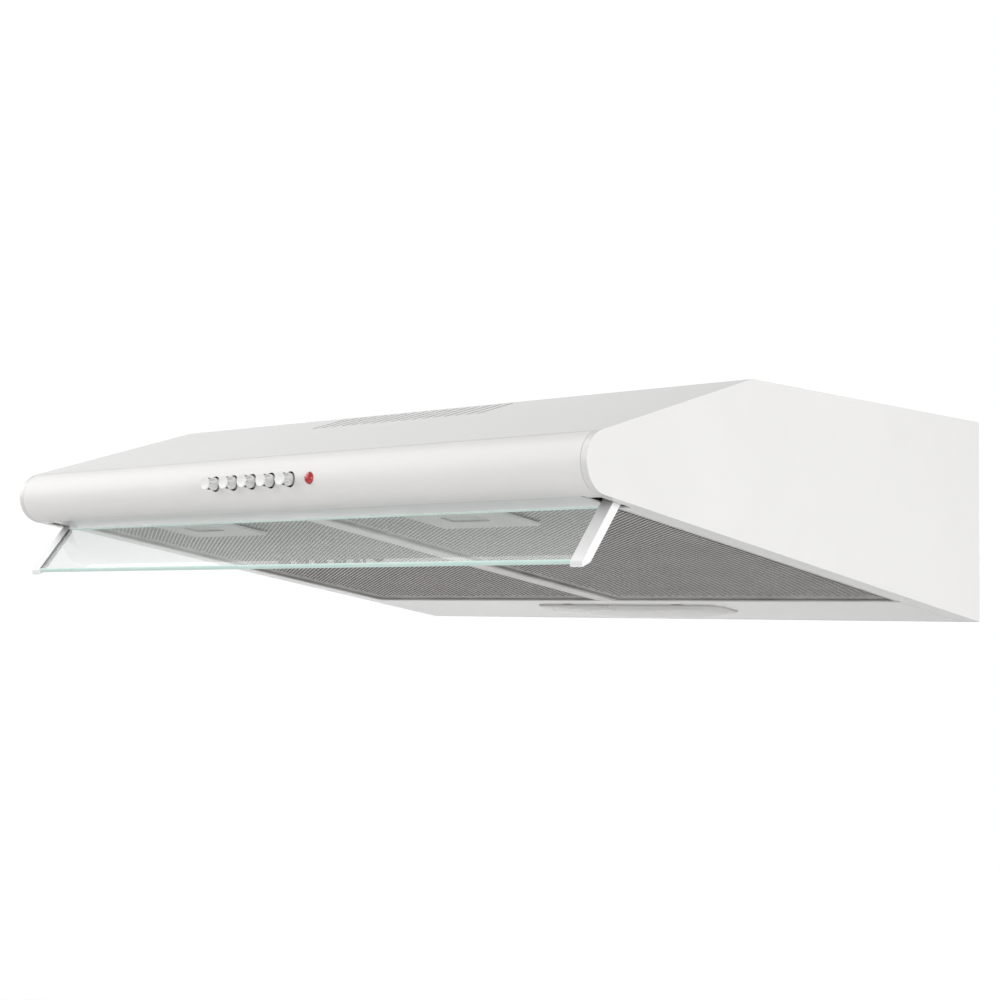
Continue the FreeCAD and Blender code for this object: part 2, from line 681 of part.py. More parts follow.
def latch_spring():
    """Spring between the plate's rear wall and the bolt, as a plain sleeve of the coil's size."""
    c = PLATE_CENTRE
    radius = 1.8
    centre = (SLIDE_LOW + SLIDE_HIGH) / 2
    length = SLIDE_BACK - SPRING_WALL_S - 2 * FIT / 3
    start = Vector(c, -(SPRING_WALL_S + FIT / 3), centre)
    sleeve = Part.makeCylinder(radius, length, start, Vector(0, -1, 0))
    core = Part.makeCylinder(radius - SPRING_WIRE, length, start, Vector(0, -1, 0))
    return tilt(sleeve.cut(core))


# ---- glass visor ----
def hang(shape):
    """Places a visor piece, drawn hanging straight down from the pivot, at its open angle."""
    placed = shape.copy()
    placed.rotate(Vector(0, 0, 0), Vector(1, 0, 0), -(90 - VISOR_ANGLE))
    placed.translate(under_point(PIVOT_S, PIVOT_N))
    return placed


TONGUE_REACH = 2.0
TONGUE_TOP = GLASS_TOP + 1.5


def visor_arm():
    """Right arm: round eye at the pivot, chamfered tip, and a tongue behind the glass."""
    x1 = ARM_OUTER
    x0 = ARM_OUTER - ARM_WIDTH
    front = -GLASS_STANDOFF
    back = ARM_THICKNESS - GLASS_STANDOFF
    outline = [
        (front, 0),
        (front, -GLASS_BOTTOM),
        (front + 2.7, -ARM_REACH),
        (back, -ARM_REACH + 7.0),
        (back, 0),
    ]
    edges = [line(outline[i], outline[(i + 1) % len(outline)]) for i in range(len(outline))]
    bar = prism(edges, x0, x1)
    eye = along_x(ARM_EYE, x0, x1, 0, 0)
    glass_back = front + GLASS_THICKNESS
    tongue = box(x0 - TONGUE_REACH, x0, glass_back, back, -GLASS_BOTTOM + 6.0, -TONGUE_TOP)
    hole = along_x(VISOR_PIN_RADIUS + RUN, x0, x1, 0, 0)
    return hang(joined([bar, eye, tongue]).cut(hole))


def visor_glass():
    """Flat glass blade between the two arms, its long edges ground round."""
    half = ARM_OUTER - ARM_WIDTH
    front = -GLASS_STANDOFF
    blade = box(-half, half, front, front + GLASS_THICKNESS, -GLASS_BOTTOM, -GLASS_TOP)
    edges = [e for e in blade.Edges if e.Length > half]
    return hang(blade.makeFillet(0.8, edges))


def visor_hinge_block():
    """Block on the side panel's flange that carries the visor pin."""
    x0 = ARM_OUTER + 0.5
    x1 = INNER_HALF - FIT / 3
    block = under_box(x0, x1, PIVOT_S - 7.0, PIVOT_S + 8.0, SHEET, PIVOT_N + 5.0)
    place = under_point(PIVOT_S, PIVOT_N)
    return block.cut(along_x(VISOR_PIN_RADIUS + RUN, x0, x1, place.y, place.z))


def visor_pin():
    place = under_point(PIVOT_S, PIVOT_N)
    return along_x(VISOR_PIN_RADIUS, ARM_OUTER - ARM_WIDTH + FIT, INNER_HALF - 1.0, place.y, place.z)


# ---- lamp unit ----
LENS_WALL = 1.6
LENS_TOP = SHEET - 0.1
HINGE_S = LENS_FRONT_S + 1.8
HINGE_N = SHEET + 1.4
HINGE_TAB_X = 60.0
HINGE_TAB_WIDTH = 12.0
HINGE_TAB_RADIUS = 1.1
REFLECTOR_BACK_S = 9.0
REFLECTOR_FRONT_S = LENS_FRONT_S + 8.0
BULB_S = 42.0
BULB_N = 19.0
HOLDER_RADIUS = 14.5
HOLDER_LENGTH = 34.0
EAR_GAP = 1.5            # hinge tab's end to the middle of the ear beside it
EAR_THICKNESS = 2.0
EAR_HEIGHT = 4.0
EAR_PAST_HINGE = 1.4


def lamp_lens():
    """Diffuser: shallow D-shaped tray, with two hinge tabs behind its straight front edge."""
    outer = lens_outline(LENS_GAP, -LENS_DROP, LENS_TOP)
    low_edges = [e for e in outer.Edges if abs(e.BoundBox.ZMax + LENS_DROP) < 1e-6]
    outer = outer.makeFillet(1.5, low_edges)
    hollow = lens_outline(LENS_GAP + LENS_WALL, -LENS_DROP + LENS_WALL, LENS_TOP + SHEET)
    tray = outer.cut(hollow)
    pieces = [tray]
    front = -(LENS_FRONT_S - LENS_GAP)
    strap_low = HINGE_N - HINGE_TAB_RADIUS + 0.1
    strap_high = HINGE_N + HINGE_TAB_RADIUS
    for side in (-1, 1):
        x0 = side * HINGE_TAB_X - HINGE_TAB_WIDTH / 2
        x1 = x0 + HINGE_TAB_WIDTH
        strap = box(x0, x1, -HINGE_S, front + LENS_WALL, strap_low, strap_high)
        post = box(x0, x1, front, front + LENS_WALL, LENS_TOP - 1.0, strap_high)
        eye = along_x(HINGE_TAB_RADIUS, x0, x1, -HINGE_S, HINGE_N)
        pieces += [strap, post, eye]
    return tilt(joined(pieces))


def lamp_reflector():
    """Bright tray over the bulb, open below, with the ears that hold the lens tabs."""
    x = REFLECTOR_HALF_WIDTH
    t = 0.8
    top = SHEET + REFLECTOR_HEIGHT
    tray = box(-x, x, -REFLECTOR_FRONT_S, -REFLECTOR_BACK_S, SHEET, top)
    tray = tray.cut(box(-x + t, x - t, -REFLECTOR_FRONT_S + t, -REFLECTOR_BACK_S - t, SHEET, top - t))
    pieces = [tray]
    y0 = -REFLECTOR_FRONT_S + t
    y1 = -HINGE_S + EAR_PAST_HINGE
    for side in (-1, 1):
        for ear in (-1, 1):
            x0 = side * HINGE_TAB_X + ear * (HINGE_TAB_WIDTH / 2 + EAR_GAP) - EAR_THICKNESS / 2
            pieces.append(box(x0, x0 + EAR_THICKNESS, y0, y1, SHEET, SHEET + EAR_HEIGHT))
    return tilt(joined(pieces))


def lamp_holder():
    """Lamp socket on the reflector's right end."""
    x1 = REFLECTOR_HALF_WIDTH - 0.8
    x0 = x1 - HOLDER_LENGTH
    socket = along_x(HOLDER_RADIUS, x0, x1, -BULB_S, BULB_N)
    screw_hole = along_x(7.0, x0, x1 - 6.0, -BULB_S, BULB_N)
    return tilt(socket.cut(screw_hole))


def lamp_bulb():
    """Candle lamp: egg-shaped envelope and a screw cap that goes into the socket."""
    r = BULB_RADIUS
    cap_start = REFLECTOR_HALF_WIDTH - 0.8 - HOLDER_LENGTH - 4.0
    glass_start = cap_start - BULB_LENGTH
    bulge = glass_start + 0.55 * BULB_LENGTH
    points = [
        Vector(glass_start, 0, 0),
        Vector(glass_start + 6.0, 0.45 * r, 0),
        Vector(bulge, r, 0),
        Vector(cap_start - 4.0, 0.62 * r, 0),
        Vector(cap_start, 6.6, 0),
    ]
    curve = Part.BSplineCurve()
    curve.interpolate(points)
    cap_end = cap_start + 26.0
    edges = [
        curve.toShape(),
        Part.LineSegment(points[-1], Vector(cap_end, 6.6, 0)).toShape(),
        Part.LineSegment(Vector(cap_end, 6.6, 0), Vector(cap_end, 0, 0)).toShape(),
        Part.LineSegment(Vector(cap_end, 0, 0), points[0]).toShape(),
    ]
    bulb = Part.Face(Part.Wire(edges)).revolve(Vector(0, 0, 0), Vector(1, 0, 0), 360)
    bulb.translate(Vector(0, -BULB_S, BULB_N))
    return tilt(bulb)


# ---- fan ----
FAN_LOW = SCROLL_BOTTOM + 8.0
HUB_LOW = FAN_LOW + 59.0
HUB_THICKNESS = 1.5
BOSS_RADIUS = 9.0
BOSS_HIGH = HUB_LOW + 6.0
MOTOR_LOW = SCROLL_BOTTOM + 16.0
OUTLET_Y0 = FAN_Y + 55.0
OUTLET_Y1 = FAN_Y + SCROLL_LARGE
PLENUM_LEFT = -64.0
PLENUM_RIGHT = 66.0
PLENUM_BACK = -42.0
PLENUM_FRONT = -(CREASE_DEPTH + VENT_START + VENT_LENGTH + 6.0)
PLENUM_WIDE = VENT_PITCH * (VENT_COUNT - 1) / 2 + 10.8
PLENUM_NECK = -CREASE_DEPTH + 61.0
PLENUM_SHOULDER = -CREASE_DEPTH + 28.0


def scroll_outline(offset, z0, z1):
    """The scroll's plan moved inward by offset: a growing spiral that opens towards the plenum."""
    steps = 16
    points = []
    for i in range(steps + 1):
        turn = math.radians(30.0 - 300.0 * i / steps)
        radius = SCROLL_SMALL + (SCROLL_LARGE - SCROLL_SMALL) * i / steps - offset
        points.append(Vector(FAN_X + radius * math.cos(turn), FAN_Y + radius * math.sin(turn), z0))
    spiral = Part.BSplineCurve()
    spiral.interpolate(points)
    end = points[-1]
    start = points[0]
    outlet = PLENUM_LEFT - SHEET + offset
    corner_out = Vector(outlet, OUTLET_Y1 - offset, z0)
    corner_in = Vector(outlet, OUTLET_Y0 + offset, z0)
    tongue = Vector(start.x, OUTLET_Y0 + offset, z0)
    lead = Vector(end.x + 1.0, OUTLET_Y1 - offset, z0)
    corners = [end, lead, corner_out, corner_in, tongue, start]
    edges = [spiral.toShape()]
    for a, b in zip(corners[:-1], corners[1:]):
        if a.distanceToPoint(b) > 1e-6:
            edges.append(Part.LineSegment(a, b).toShape())
    return Part.Face(Part.Wire(edges)).extrude(Vector(0, 0, z1 - z0))


def scroll_housing():
    """Fan scroll with its floor, roof and inlet, hung from the top cover on four posts."""
    w = SCROLL_WALL
    floor = SCROLL_BOTTOM + w
    ceiling = SCROLL_TOP - w
    shell = scroll_outline(0, SCROLL_BOTTOM, SCROLL_TOP)
    shell = shell.cut(scroll_outline(w, floor, ceiling))
    shell = shell.cut(upright(INLET_RADIUS, SCROLL_BOTTOM, floor, FAN_X, FAN_Y))
    mouth_start = PLENUM_LEFT - SHEET - w
    mouth = box(mouth_start, PLENUM_LEFT, OUTLET_Y0 + w, OUTLET_Y1 - w, floor, ceiling)
    shell = shell.cut(mouth)
    posts = []
    for degrees in (45, 135, 225, 315):
        a = math.radians(degrees)
        posts.append(upright(5.0, SCROLL_TOP, TOP_UNDER, FAN_X + 62 * math.cos(a), FAN_Y + 62 * math.sin(a)))
    return joined([shell] + posts)


def fan_wheel():
    """Drum fan wheel: hub disc at the top, a ring of blades below it, and a bottom ring."""
    inner = FAN_RADIUS - BLADE_DEPTH
    disc = upright(FAN_RADIUS, HUB_LOW, HUB_LOW + HUB_THICKNESS)
    boss = upright(BOSS_RADIUS, HUB_LOW - 4.0, BOSS_HIGH)
    ring = upright(FAN_RADIUS, FAN_LOW, FAN_LOW + 2.0).cut(upright(inner, FAN_LOW, FAN_LOW + 2.0))
    blades = []
    for i in range(BLADE_COUNT):
        blade = box(inner + 0.4, FAN_RADIUS - 0.4, -0.5, 0.5, FAN_LOW + 1.0, HUB_LOW + 0.5)
        blade.rotate(Vector((inner + FAN_RADIUS) / 2, 0, 0), Vector(0, 0, 1), 24.0)
        blade.rotate(Vector(0, 0, 0), Vector(0, 0, 1), 360.0 * i / BLADE_COUNT)
        blades.append(blade)
    wheel = joined([disc, boss, ring] + blades)
    wheel = wheel.cut(upright(SHAFT_RADIUS + RUN, HUB_LOW - 5.0, BOSS_HIGH + 1.0))
    wheel.translate(Vector(FAN_X, FAN_Y, 0))
    return wheel


def motor_body():
    """Round motor inside the wheel, with rounded end bells and a bore for its shaft."""
    can = upright(MOTOR_RADIUS, MOTOR_LOW, MOTOR_LOW + MOTOR_HEIGHT, FAN_X, FAN_Y)
    rims = [e for e in can.Edges if e.Length > 6 * MOTOR_RADIUS]
    can = can.makeFillet(5.0, rims)
    depth = MOTOR_HEIGHT / 2
    return can.cut(upright(SHAFT_RADIUS + RUN, MOTOR_LOW + depth, MOTOR_LOW + MOTOR_HEIGHT, FAN_X, FAN_Y))


def motor_shaft():
    return upright(SHAFT_RADIUS, MOTOR_LOW + MOTOR_HEIGHT / 2 + FIT, BOSS_HIGH - 1.0, FAN_X, FAN_Y)


def motor_bracket():
    """Three-armed spider on the scroll floor that carries the motor."""
    floor = SCROLL_BOTTOM + SCROLL_WALL
    pieces = [upright(0.8 * MOTOR_RADIUS, floor, MOTOR_LOW)]
    for degrees in (90, 210, 330):
        arm = box(0, INLET_RADIUS + 7.0, -6.0, 6.0, floor, floor + 4.0)
        arm.rotate(Vector(0, 0, 0), Vector(0, 0, 1), degrees)
        pieces.append(arm)
    spider = joined(pieces)
    spider.translate(Vector(FAN_X, FAN_Y, 0))
    return spider


GRILLE_THICKNESS = 2.5


def inlet_grille():
    """Finger guard under the scroll's inlet: rings joined by spokes."""
    low = SCROLL_BOTTOM - GRILLE_THICKNESS
    pieces = []
    for radius in (18.0, 36.0, 54.0, 72.0):
        pieces.append(upright(radius, low, SCROLL_BOTTOM).cut(upright(radius - 2.5, low, SCROLL_BOTTOM)))
    for i in range(6):
        spoke = box(14.0, 71.0, -1.2, 1.2, low, SCROLL_BOTTOM)
        spoke.rotate(Vector(0, 0, 0), Vector(0, 0, 1), 60.0 * i)
        pieces.append(spoke)
    guard = joined(pieces)
    guard.translate(Vector(FAN_X, FAN_Y, 0))
    return guard


def charcoal_filter():
    """Round carbon filter twisted on under the fan inlet, with a shallow dished face."""
    high = SCROLL_BOTTOM - GRILLE_THICKNESS
    low = high - CHARCOAL_THICKNESS
    disc = upright(CHARCOAL_RADIUS, low, high, FAN_X, FAN_Y)
    rims = [e for e in disc.Edges if e.Length > 6 * CHARCOAL_RADIUS and e.BoundBox.ZMax < low + 1.0]
    disc = disc.makeFillet(3.0, rims)
    return disc.cut(upright(CHARCOAL_RADIUS / 4, low, low + 6.0, FAN_X, FAN_Y))


# ---- ducting ----
def plenum_outline(d, z0, z1):
    """Plan of the outlet plenum moved inward by d."""
    corners = [
        (PLENUM_LEFT + d, PLENUM_BACK - d),
        (PLENUM_LEFT + d, PLENUM_NECK),
        (-PLENUM_WIDE + d, PLENUM_SHOULDER),
        (-PLENUM_WIDE + d, PLENUM_FRONT + d),
        (PLENUM_WIDE - d, PLENUM_FRONT + d),
        (PLENUM_WIDE - d, PLENUM_SHOULDER),
        (PLENUM_RIGHT - d, PLENUM_NECK),
        (PLENUM_RIGHT - d, PLENUM_BACK - d),
    ]
    points = [Vector(x, y, z0) for x, y in corners]
    return Part.Face(Part.makePolygon(points + points[:1])).extrude(Vector(0, 0, z1 - z0))


FLAP_PIVOT_Y = -172.0
FLAP_PIVOT_Z = HEIGHT - 8.2
DIVERTER_PIN = 2.5


def outlet_plenum():
    """Sheet box under the top cover that leads air up to the collar or forward to the vents."""
    w = SHEET
    shell = plenum_outline(0, SCROLL_BOTTOM, HEIGHT).cut(plenum_outline(w, SCROLL_BOTTOM + w, HEIGHT))
    shell = shell.common(casing(SHEET + FIT, -HALF, HALF))
    y0 = OUTLET_Y0 + SCROLL_WALL
    y1 = OUTLET_Y1 - SCROLL_WALL
    floor = SCROLL_BOTTOM + w + FIT
    mouth = box(PLENUM_LEFT - w, PLENUM_LEFT + 2 * w, y0, y1, floor, SCROLL_TOP - w)
    hole = along_x(DIVERTER_PIN + RUN, PLENUM_LEFT, PLENUM_RIGHT, FLAP_PIVOT_Y, FLAP_PIVOT_Z)
    relief = upright(CLAMP_RADIUS + 2.0, TOP_UNDER - 2.0, HEIGHT, 0, DUCT_Y)
    return shell.cut(Part.makeCompound([mouth, hole, relief]))


def diverter_flap():
    """Flap across the plenum that closes the way to the front vents, on its cross shaft."""
    gap = 1.0
    x0 = PLENUM_LEFT + SHEET + gap
    x1 = PLENUM_RIGHT - SHEET - gap
    plate = box(x0, x1, FLAP_PIVOT_Y - 0.6, FLAP_PIVOT_Y + 0.6, SCROLL_BOTTOM + SHEET + 2.0, FLAP_PIVOT_Z)
    shaft = along_x(DIVERTER_PIN, PLENUM_LEFT, PLENUM_RIGHT + 10.0, FLAP_PIVOT_Y, FLAP_PIVOT_Z)
    return joined([plate, shaft])


def diverter_lever():
    """Lever on the flap's shaft outside the plenum, with a round thumb pad."""
    x0 = PLENUM_RIGHT + 3.0
    x1 = x0 + 3.0
    arm = box(x0, x1, FLAP_PIVOT_Y - 4.0, FLAP_PIVOT_Y + 4.0, FLAP_PIVOT_Z - 52.0, FLAP_PIVOT_Z)
    hub = along_x(6.0, x0, x0 + 6.0, FLAP_PIVOT_Y, FLAP_PIVOT_Z)
    pad = along_x(8.0, x0, x0 + 5.0, FLAP_PIVOT_Y, FLAP_PIVOT_Z - 52.0)
    hole = along_x(DIVERTER_PIN + RUN, x0, x0 + 6.0, FLAP_PIVOT_Y, FLAP_PIVOT_Z)
    return joined([arm, hub, pad]).cut(hole)


PIN_Z = HEIGHT + FLAP_HEIGHT
COLLAR_TOP = HEIGHT + DUCT_PROUD


def outlet_collar():
    """Round duct spigot with holes for the damper pin, and the clamp ring under the top cover."""
    low = TOP_UNDER - CLAMP_THICKNESS
    foot_radius = DUCT_RADIUS + COLLAR_BEAD
    tube = upright(DUCT_RADIUS, low, COLLAR_TOP, 0, DUCT_Y)
    foot = upright(foot_radius, low, HEIGHT, 0, DUCT_Y)
    bore = upright(DUCT_RADIUS - DUCT_WALL, low, COLLAR_TOP, 0, DUCT_Y)
    holes = along_x(FLAP_PIN_RADIUS + RUN, -DUCT_RADIUS, DUCT_RADIUS, DUCT_Y, PIN_Z)
    spigot = joined([tube, foot]).cut(Part.makeCompound([bore, holes]))
    flange = upright(CLAMP_RADIUS, low, TOP_UNDER, 0, DUCT_Y)
    ring = flange.cut(upright(foot_radius, low, TOP_UNDER, 0, DUCT_Y))
    return Part.makeCompound([spigot, ring])


def damper_pin():
    reach = DUCT_RADIUS - 0.3
    return along_x(FLAP_PIN_RADIUS, -reach, reach, DUCT_Y, PIN_Z)


def damper_flap(side):
    """Half-round flap hinged on the damper pin; side is -1 for the front one, 1 for the rear one."""
    outer = DUCT_RADIUS - DUCT_WALL - 1.2
    low = PIN_Z - 0.6
    high = PIN_Z + 0.6
    disc = upright(outer, low, high, 0, DUCT_Y)
    edge = DUCT_Y + side * 4.5
    far = DUCT_Y + side * (DUCT_RADIUS + 1)
    pieces = [disc.common(box(-outer, outer, min(edge, far), max(edge, far), low, high))]
    knuckle = 8.0
    knuckle_radius = FLAP_PIN_RADIUS + 1.4
    y0 = min(DUCT_Y, edge + side)
    y1 = max(DUCT_Y, edge + side)
    places = (-38.0, 22.0) if side < 0 else (-22.0, 38.0)
    for x in places:
        pieces.append(along_x(knuckle_radius, x - knuckle, x + knuckle, DUCT_Y, PIN_Z))
        pieces.append(box(x - knuckle, x + knuckle, y0, y1, low, high))
    bore = along_x(FLAP_PIN_RADIUS + RUN, -outer, outer, DUCT_Y, PIN_Z)
    return joined(pieces).cut(bore)


# ---- electrics ----
BOX_X0 = 150.0
BOX_X1 = 220.0
BOX_HIGH = HEIGHT - 9.2
BOX_LOW = BOX_HIGH - 36.0
BOX_DEPTH = 40.0
BOX_WALL = 2.0
WIRE_X = HALF - 33.0
CAPACITOR_X = WIRE_X - 38.0
CAPACITOR_Y = -115.0
CAPACITOR_RADIUS = 17.5
CAPACITOR_LENGTH = 52.0
WIRE_RADIUS = 3.5


def terminal_box():
    """Plastic box on the back panel for the mains terminals, open below."""
    w = BOX_WALL
    back = -SHEET
    front = back - BOX_DEPTH
    ceiling = BOX_HIGH - w
    shell = box(BOX_X0, BOX_X1, front, back, BOX_LOW, BOX_HIGH)
    room = box(BOX_X0 + w, BOX_X1 - w, front + w, back - w, BOX_LOW, ceiling)
    block = box(BOX_X0 + 15, BOX_X1 - 15, back - 30, back - 10, ceiling - 14, ceiling)
    return joined([shell.cut(room), block])


def terminal_lid():
    return box(BOX_X0, BOX_X1, -SHEET - BOX_DEPTH, -SHEET, BOX_LOW - BOX_WALL, BOX_LOW)


def cable_gland():
    """Threaded cable inlet through the top cover, with its nut below."""
    low = TOP_UNDER - 8.0
    high = HEIGHT + GLAND_PROUD
    thread = upright(GLAND_THREAD, low, high, GLAND_X, GLAND_Y)
    nut = upright(GLAND_NUT, TOP_UNDER - 5.0, TOP_UNDER, GLAND_X, GLAND_Y)
    bore = upright(GLAND_BORE, low, high, GLAND_X, GLAND_Y)
    return joined([thread, nut]).cut(bore)


def capacitor():
    """Motor run capacitor, hung by its stud from the top cover."""
    stud = 6.2
    top = TOP_UNDER - stud
    can = upright(CAPACITOR_RADIUS, top - CAPACITOR_LENGTH, top, CAPACITOR_X, CAPACITOR_Y)
    rims = [e for e in can.Edges if e.Length > 6 * CAPACITOR_RADIUS]
    can = can.makeFillet(2.0, rims)
    return joined([can, upright(4.0, top, TOP_UNDER, CAPACITOR_X, CAPACITOR_Y)])


def rounded_path(points, radius):
    """A wire of straight runs joined by tangent arcs of one radius."""
    edges = []
    start = points[0]
    for before, corner, after in zip(points[:-2], points[1:-1], points[2:]):
        u = (before - corner).normalize()
        v = (after - corner).normalize()
        half = math.acos(max(-1.0, min(1.0, u.dot(v)))) / 2
        reach = radius / math.tan(half)
        a = corner + u * reach
        b = corner + v * reach
        middle = (u + v).normalize()
        m = corner + middle * (radius / math.sin(half) - radius)
        edges.append(Part.LineSegment(start, a).toShape())
        edges.append(Part.Arc(a, m, b).toShape())
        start = b
    edges.append(Part.LineSegment(start, points[-1]).toShape())
    return Part.Wire(edges)


def wire_harness():
    """Wires from the terminal box along the right side to the switch block."""
    middle_z = (BOX_LOW + BOX_HIGH) / 2
    block_y = (BLOCK_FRONT + BLOCK_BACK) / 2
    points = [
        Vector(BOX_X1, -SHEET - BOX_DEPTH / 2, middle_z),
        Vector(WIRE_X, -SHEET - BOX_DEPTH / 2, middle_z),
        Vector(WIRE_X, -CREASE_DEPTH, middle_z),
        Vector(WIRE_X, block_y, ROLL_HEIGHT),
        Vector(BLOCK_RIGHT, block_y, ROLL_HEIGHT),
    ]
    path = rounded_path(points, 18.0)
    profile = Part.Wire(Part.makeCircle(WIRE_RADIUS, points[0], Vector(1, 0, 0)))
    return path.makePipeShell([profile], True, True)


# ---- build ----
os.makedirs("parts", exist_ok=True)

save(top_cover(), "top_cover")
save(back_panel(), "back_panel")
save_pair(side_panel(), "side_panel")
save(rear_bottom_panel(), "rear_bottom_panel")
save(filter_divider(), "filter_divider")
save(front_rail(), "front_rail")
save(front_fascia(), "front_fascia")
save(cover_screws(), "cover_screws")

for name, x in zip(BUTTON_NAMES, BUTTON_XS):
    save(button(x), name)
    save(button_spring(x), name.replace("button", "spring"))
save(switch_block(), "switch_block")
save(switch_bracket(), "switch_bracket")
save(indicator_lens(), "indicator_lens")

save_pair(filter_frame(), "filter_frame")
save_pair(filter_mesh(), "filter_mesh")
save_pair(latch_plate(), "latch_plate")
save_pair(filter_latch(), "filter_latch")
save_pair(latch_spring(), "latch_spring")

save_pair(visor_arm(), "visor_arm")
save(visor_glass(), "visor_glass")
save(Part.makeCompound([visor_hinge_block(), mirrored(visor_hinge_block())]), "visor_hinge_blocks")
save(Part.makeCompound([visor_pin(), mirrored(visor_pin())]), "visor_pins")

save(lamp_lens(), "lamp_lens")
save(lamp_reflector(), "lamp_reflector")
save(lamp_holder(), "lamp_holder")
save(lamp_bulb(), "lamp_bulb")

save(scroll_housing(), "scroll_housing")
save(fan_wheel(), "fan_wheel")
save(motor_body(), "motor_body")
save(motor_shaft(), "motor_shaft")
save(motor_bracket(), "motor_bracket")
save(inlet_grille(), "inlet_grille")
save(charcoal_filter(), "charcoal_filter")

save(outlet_plenum(), "outlet_plenum")
save(outlet_collar(), "outlet_collar")
save(damper_pin(), "damper_pin")
save(damper_flap(-1), "damper_flap_front")
save(damper_flap(1), "damper_flap_rear")
save(diverter_flap(), "diverter_flap")
save(diverter_lever(), "diverter_lever")

save(terminal_box(), "terminal_box")
save(terminal_lid(), "terminal_lid")
save(cable_gland(), "cable_gland")
save(capacitor(), "capacitor")
save(wire_harness(), "wire_harness")
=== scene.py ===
# Slim range hood for the underside of a wall cabinet: light, camera, finishes and detailed pieces
# round the fixed frame. Metres, +Z up, the wall at y = 0 and the front towards -Y.
import json
import math

import bpy
import numpy as np
from mathutils import Matrix, Vector

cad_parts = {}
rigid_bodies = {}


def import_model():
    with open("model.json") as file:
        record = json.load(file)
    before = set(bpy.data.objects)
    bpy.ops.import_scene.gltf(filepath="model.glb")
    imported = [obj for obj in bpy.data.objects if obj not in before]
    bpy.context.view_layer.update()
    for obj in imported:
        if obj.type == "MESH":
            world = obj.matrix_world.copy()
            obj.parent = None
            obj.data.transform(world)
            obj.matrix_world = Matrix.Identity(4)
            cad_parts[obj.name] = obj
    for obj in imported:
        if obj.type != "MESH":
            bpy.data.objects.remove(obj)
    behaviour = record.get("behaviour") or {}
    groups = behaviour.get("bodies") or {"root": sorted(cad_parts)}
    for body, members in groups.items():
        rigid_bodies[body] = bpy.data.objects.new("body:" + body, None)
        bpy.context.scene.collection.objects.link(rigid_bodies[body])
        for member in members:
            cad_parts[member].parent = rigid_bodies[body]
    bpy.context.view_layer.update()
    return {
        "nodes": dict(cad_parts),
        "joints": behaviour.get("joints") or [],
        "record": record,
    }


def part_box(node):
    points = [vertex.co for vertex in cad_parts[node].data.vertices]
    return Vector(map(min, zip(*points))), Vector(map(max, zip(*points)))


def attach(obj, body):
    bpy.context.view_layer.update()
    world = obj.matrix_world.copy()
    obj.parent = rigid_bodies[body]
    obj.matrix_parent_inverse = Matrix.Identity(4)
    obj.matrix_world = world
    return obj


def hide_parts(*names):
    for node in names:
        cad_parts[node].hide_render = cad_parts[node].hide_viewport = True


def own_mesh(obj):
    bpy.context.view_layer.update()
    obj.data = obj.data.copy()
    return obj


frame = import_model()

mm = 0.001
joints = {joint["name"]: joint for joint in frame["joints"]}
print("frame loaded:", len(frame["nodes"]), "nodes")


# The underside slopes up towards the front. Along it, s runs forward from the wall and n stands square
# to it, upwards: y = n sin - s cos and z = s sin + n cos. The latch slides straight along s.
slopeCos = joints["latch_right_slide"]["axis"][1]
slopeSin = -joints["latch_right_slide"]["axis"][2]


def onSlope(points):  # (x, s, n) rows to (x, y, z) rows
    points = np.asarray(points, float)
    x, s, n = points[..., 0], points[..., 1], points[..., 2]
    return np.stack([x, n * slopeSin - s * slopeCos, s * slopeSin + n * slopeCos], -1)


def nodePoints(name):  # all corners of one fixed node, as rows of x, y, z
    mesh = frame["nodes"][name].data
    flat = np.empty(len(mesh.vertices) * 3, np.float32)
    mesh.vertices.foreach_get("co", flat)
    return flat.reshape(-1, 3).astype(float)


def slopeBox(name):  # lowest and highest (x, s, n) of a node: s = z sin - y cos and n = y sin + z cos
    x, y, z = nodePoints(name).T
    local = np.stack([x, z * slopeSin - y * slopeCos, y * slopeSin + z * slopeCos], -1)
    return local.min(0), local.max(0)


def box(name):
    low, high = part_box(name)
    return np.array(low), np.array(high)


# Mesh tools: a shell is a dictionary of points, four-sided and three-sided faces and finish numbers
def shell(points, quads, tris=None, finish=None):
    tris = np.empty((0, 3), int) if tris is None else np.asarray(tris, int)
    quads = np.asarray(quads, int).reshape(-1, 4)
    made = {"points": np.asarray(points, float).reshape(-1, 3), "quads": quads, "tris": tris}
    made["finish"] = np.zeros(len(quads) + len(tris), int) if finish is None else np.asarray(finish)
    return outward(made)


# A closed shell's volume is the sum of a.(b x c) / 6 over its triangles. Where that is negative, the faces
# are turned round.
def outward(made):
    q = made["quads"]
    corners = np.concatenate([q[:, [0, 1, 2]], q[:, [0, 2, 3]], made["tris"]])
    a, b, c = (made["points"][corners[:, i]] for i in range(3))
    if np.sum(a * np.cross(b, c)) < 0:
        made["quads"] = q[:, ::-1]
        made["tris"] = made["tris"][:, ::-1]
    return made


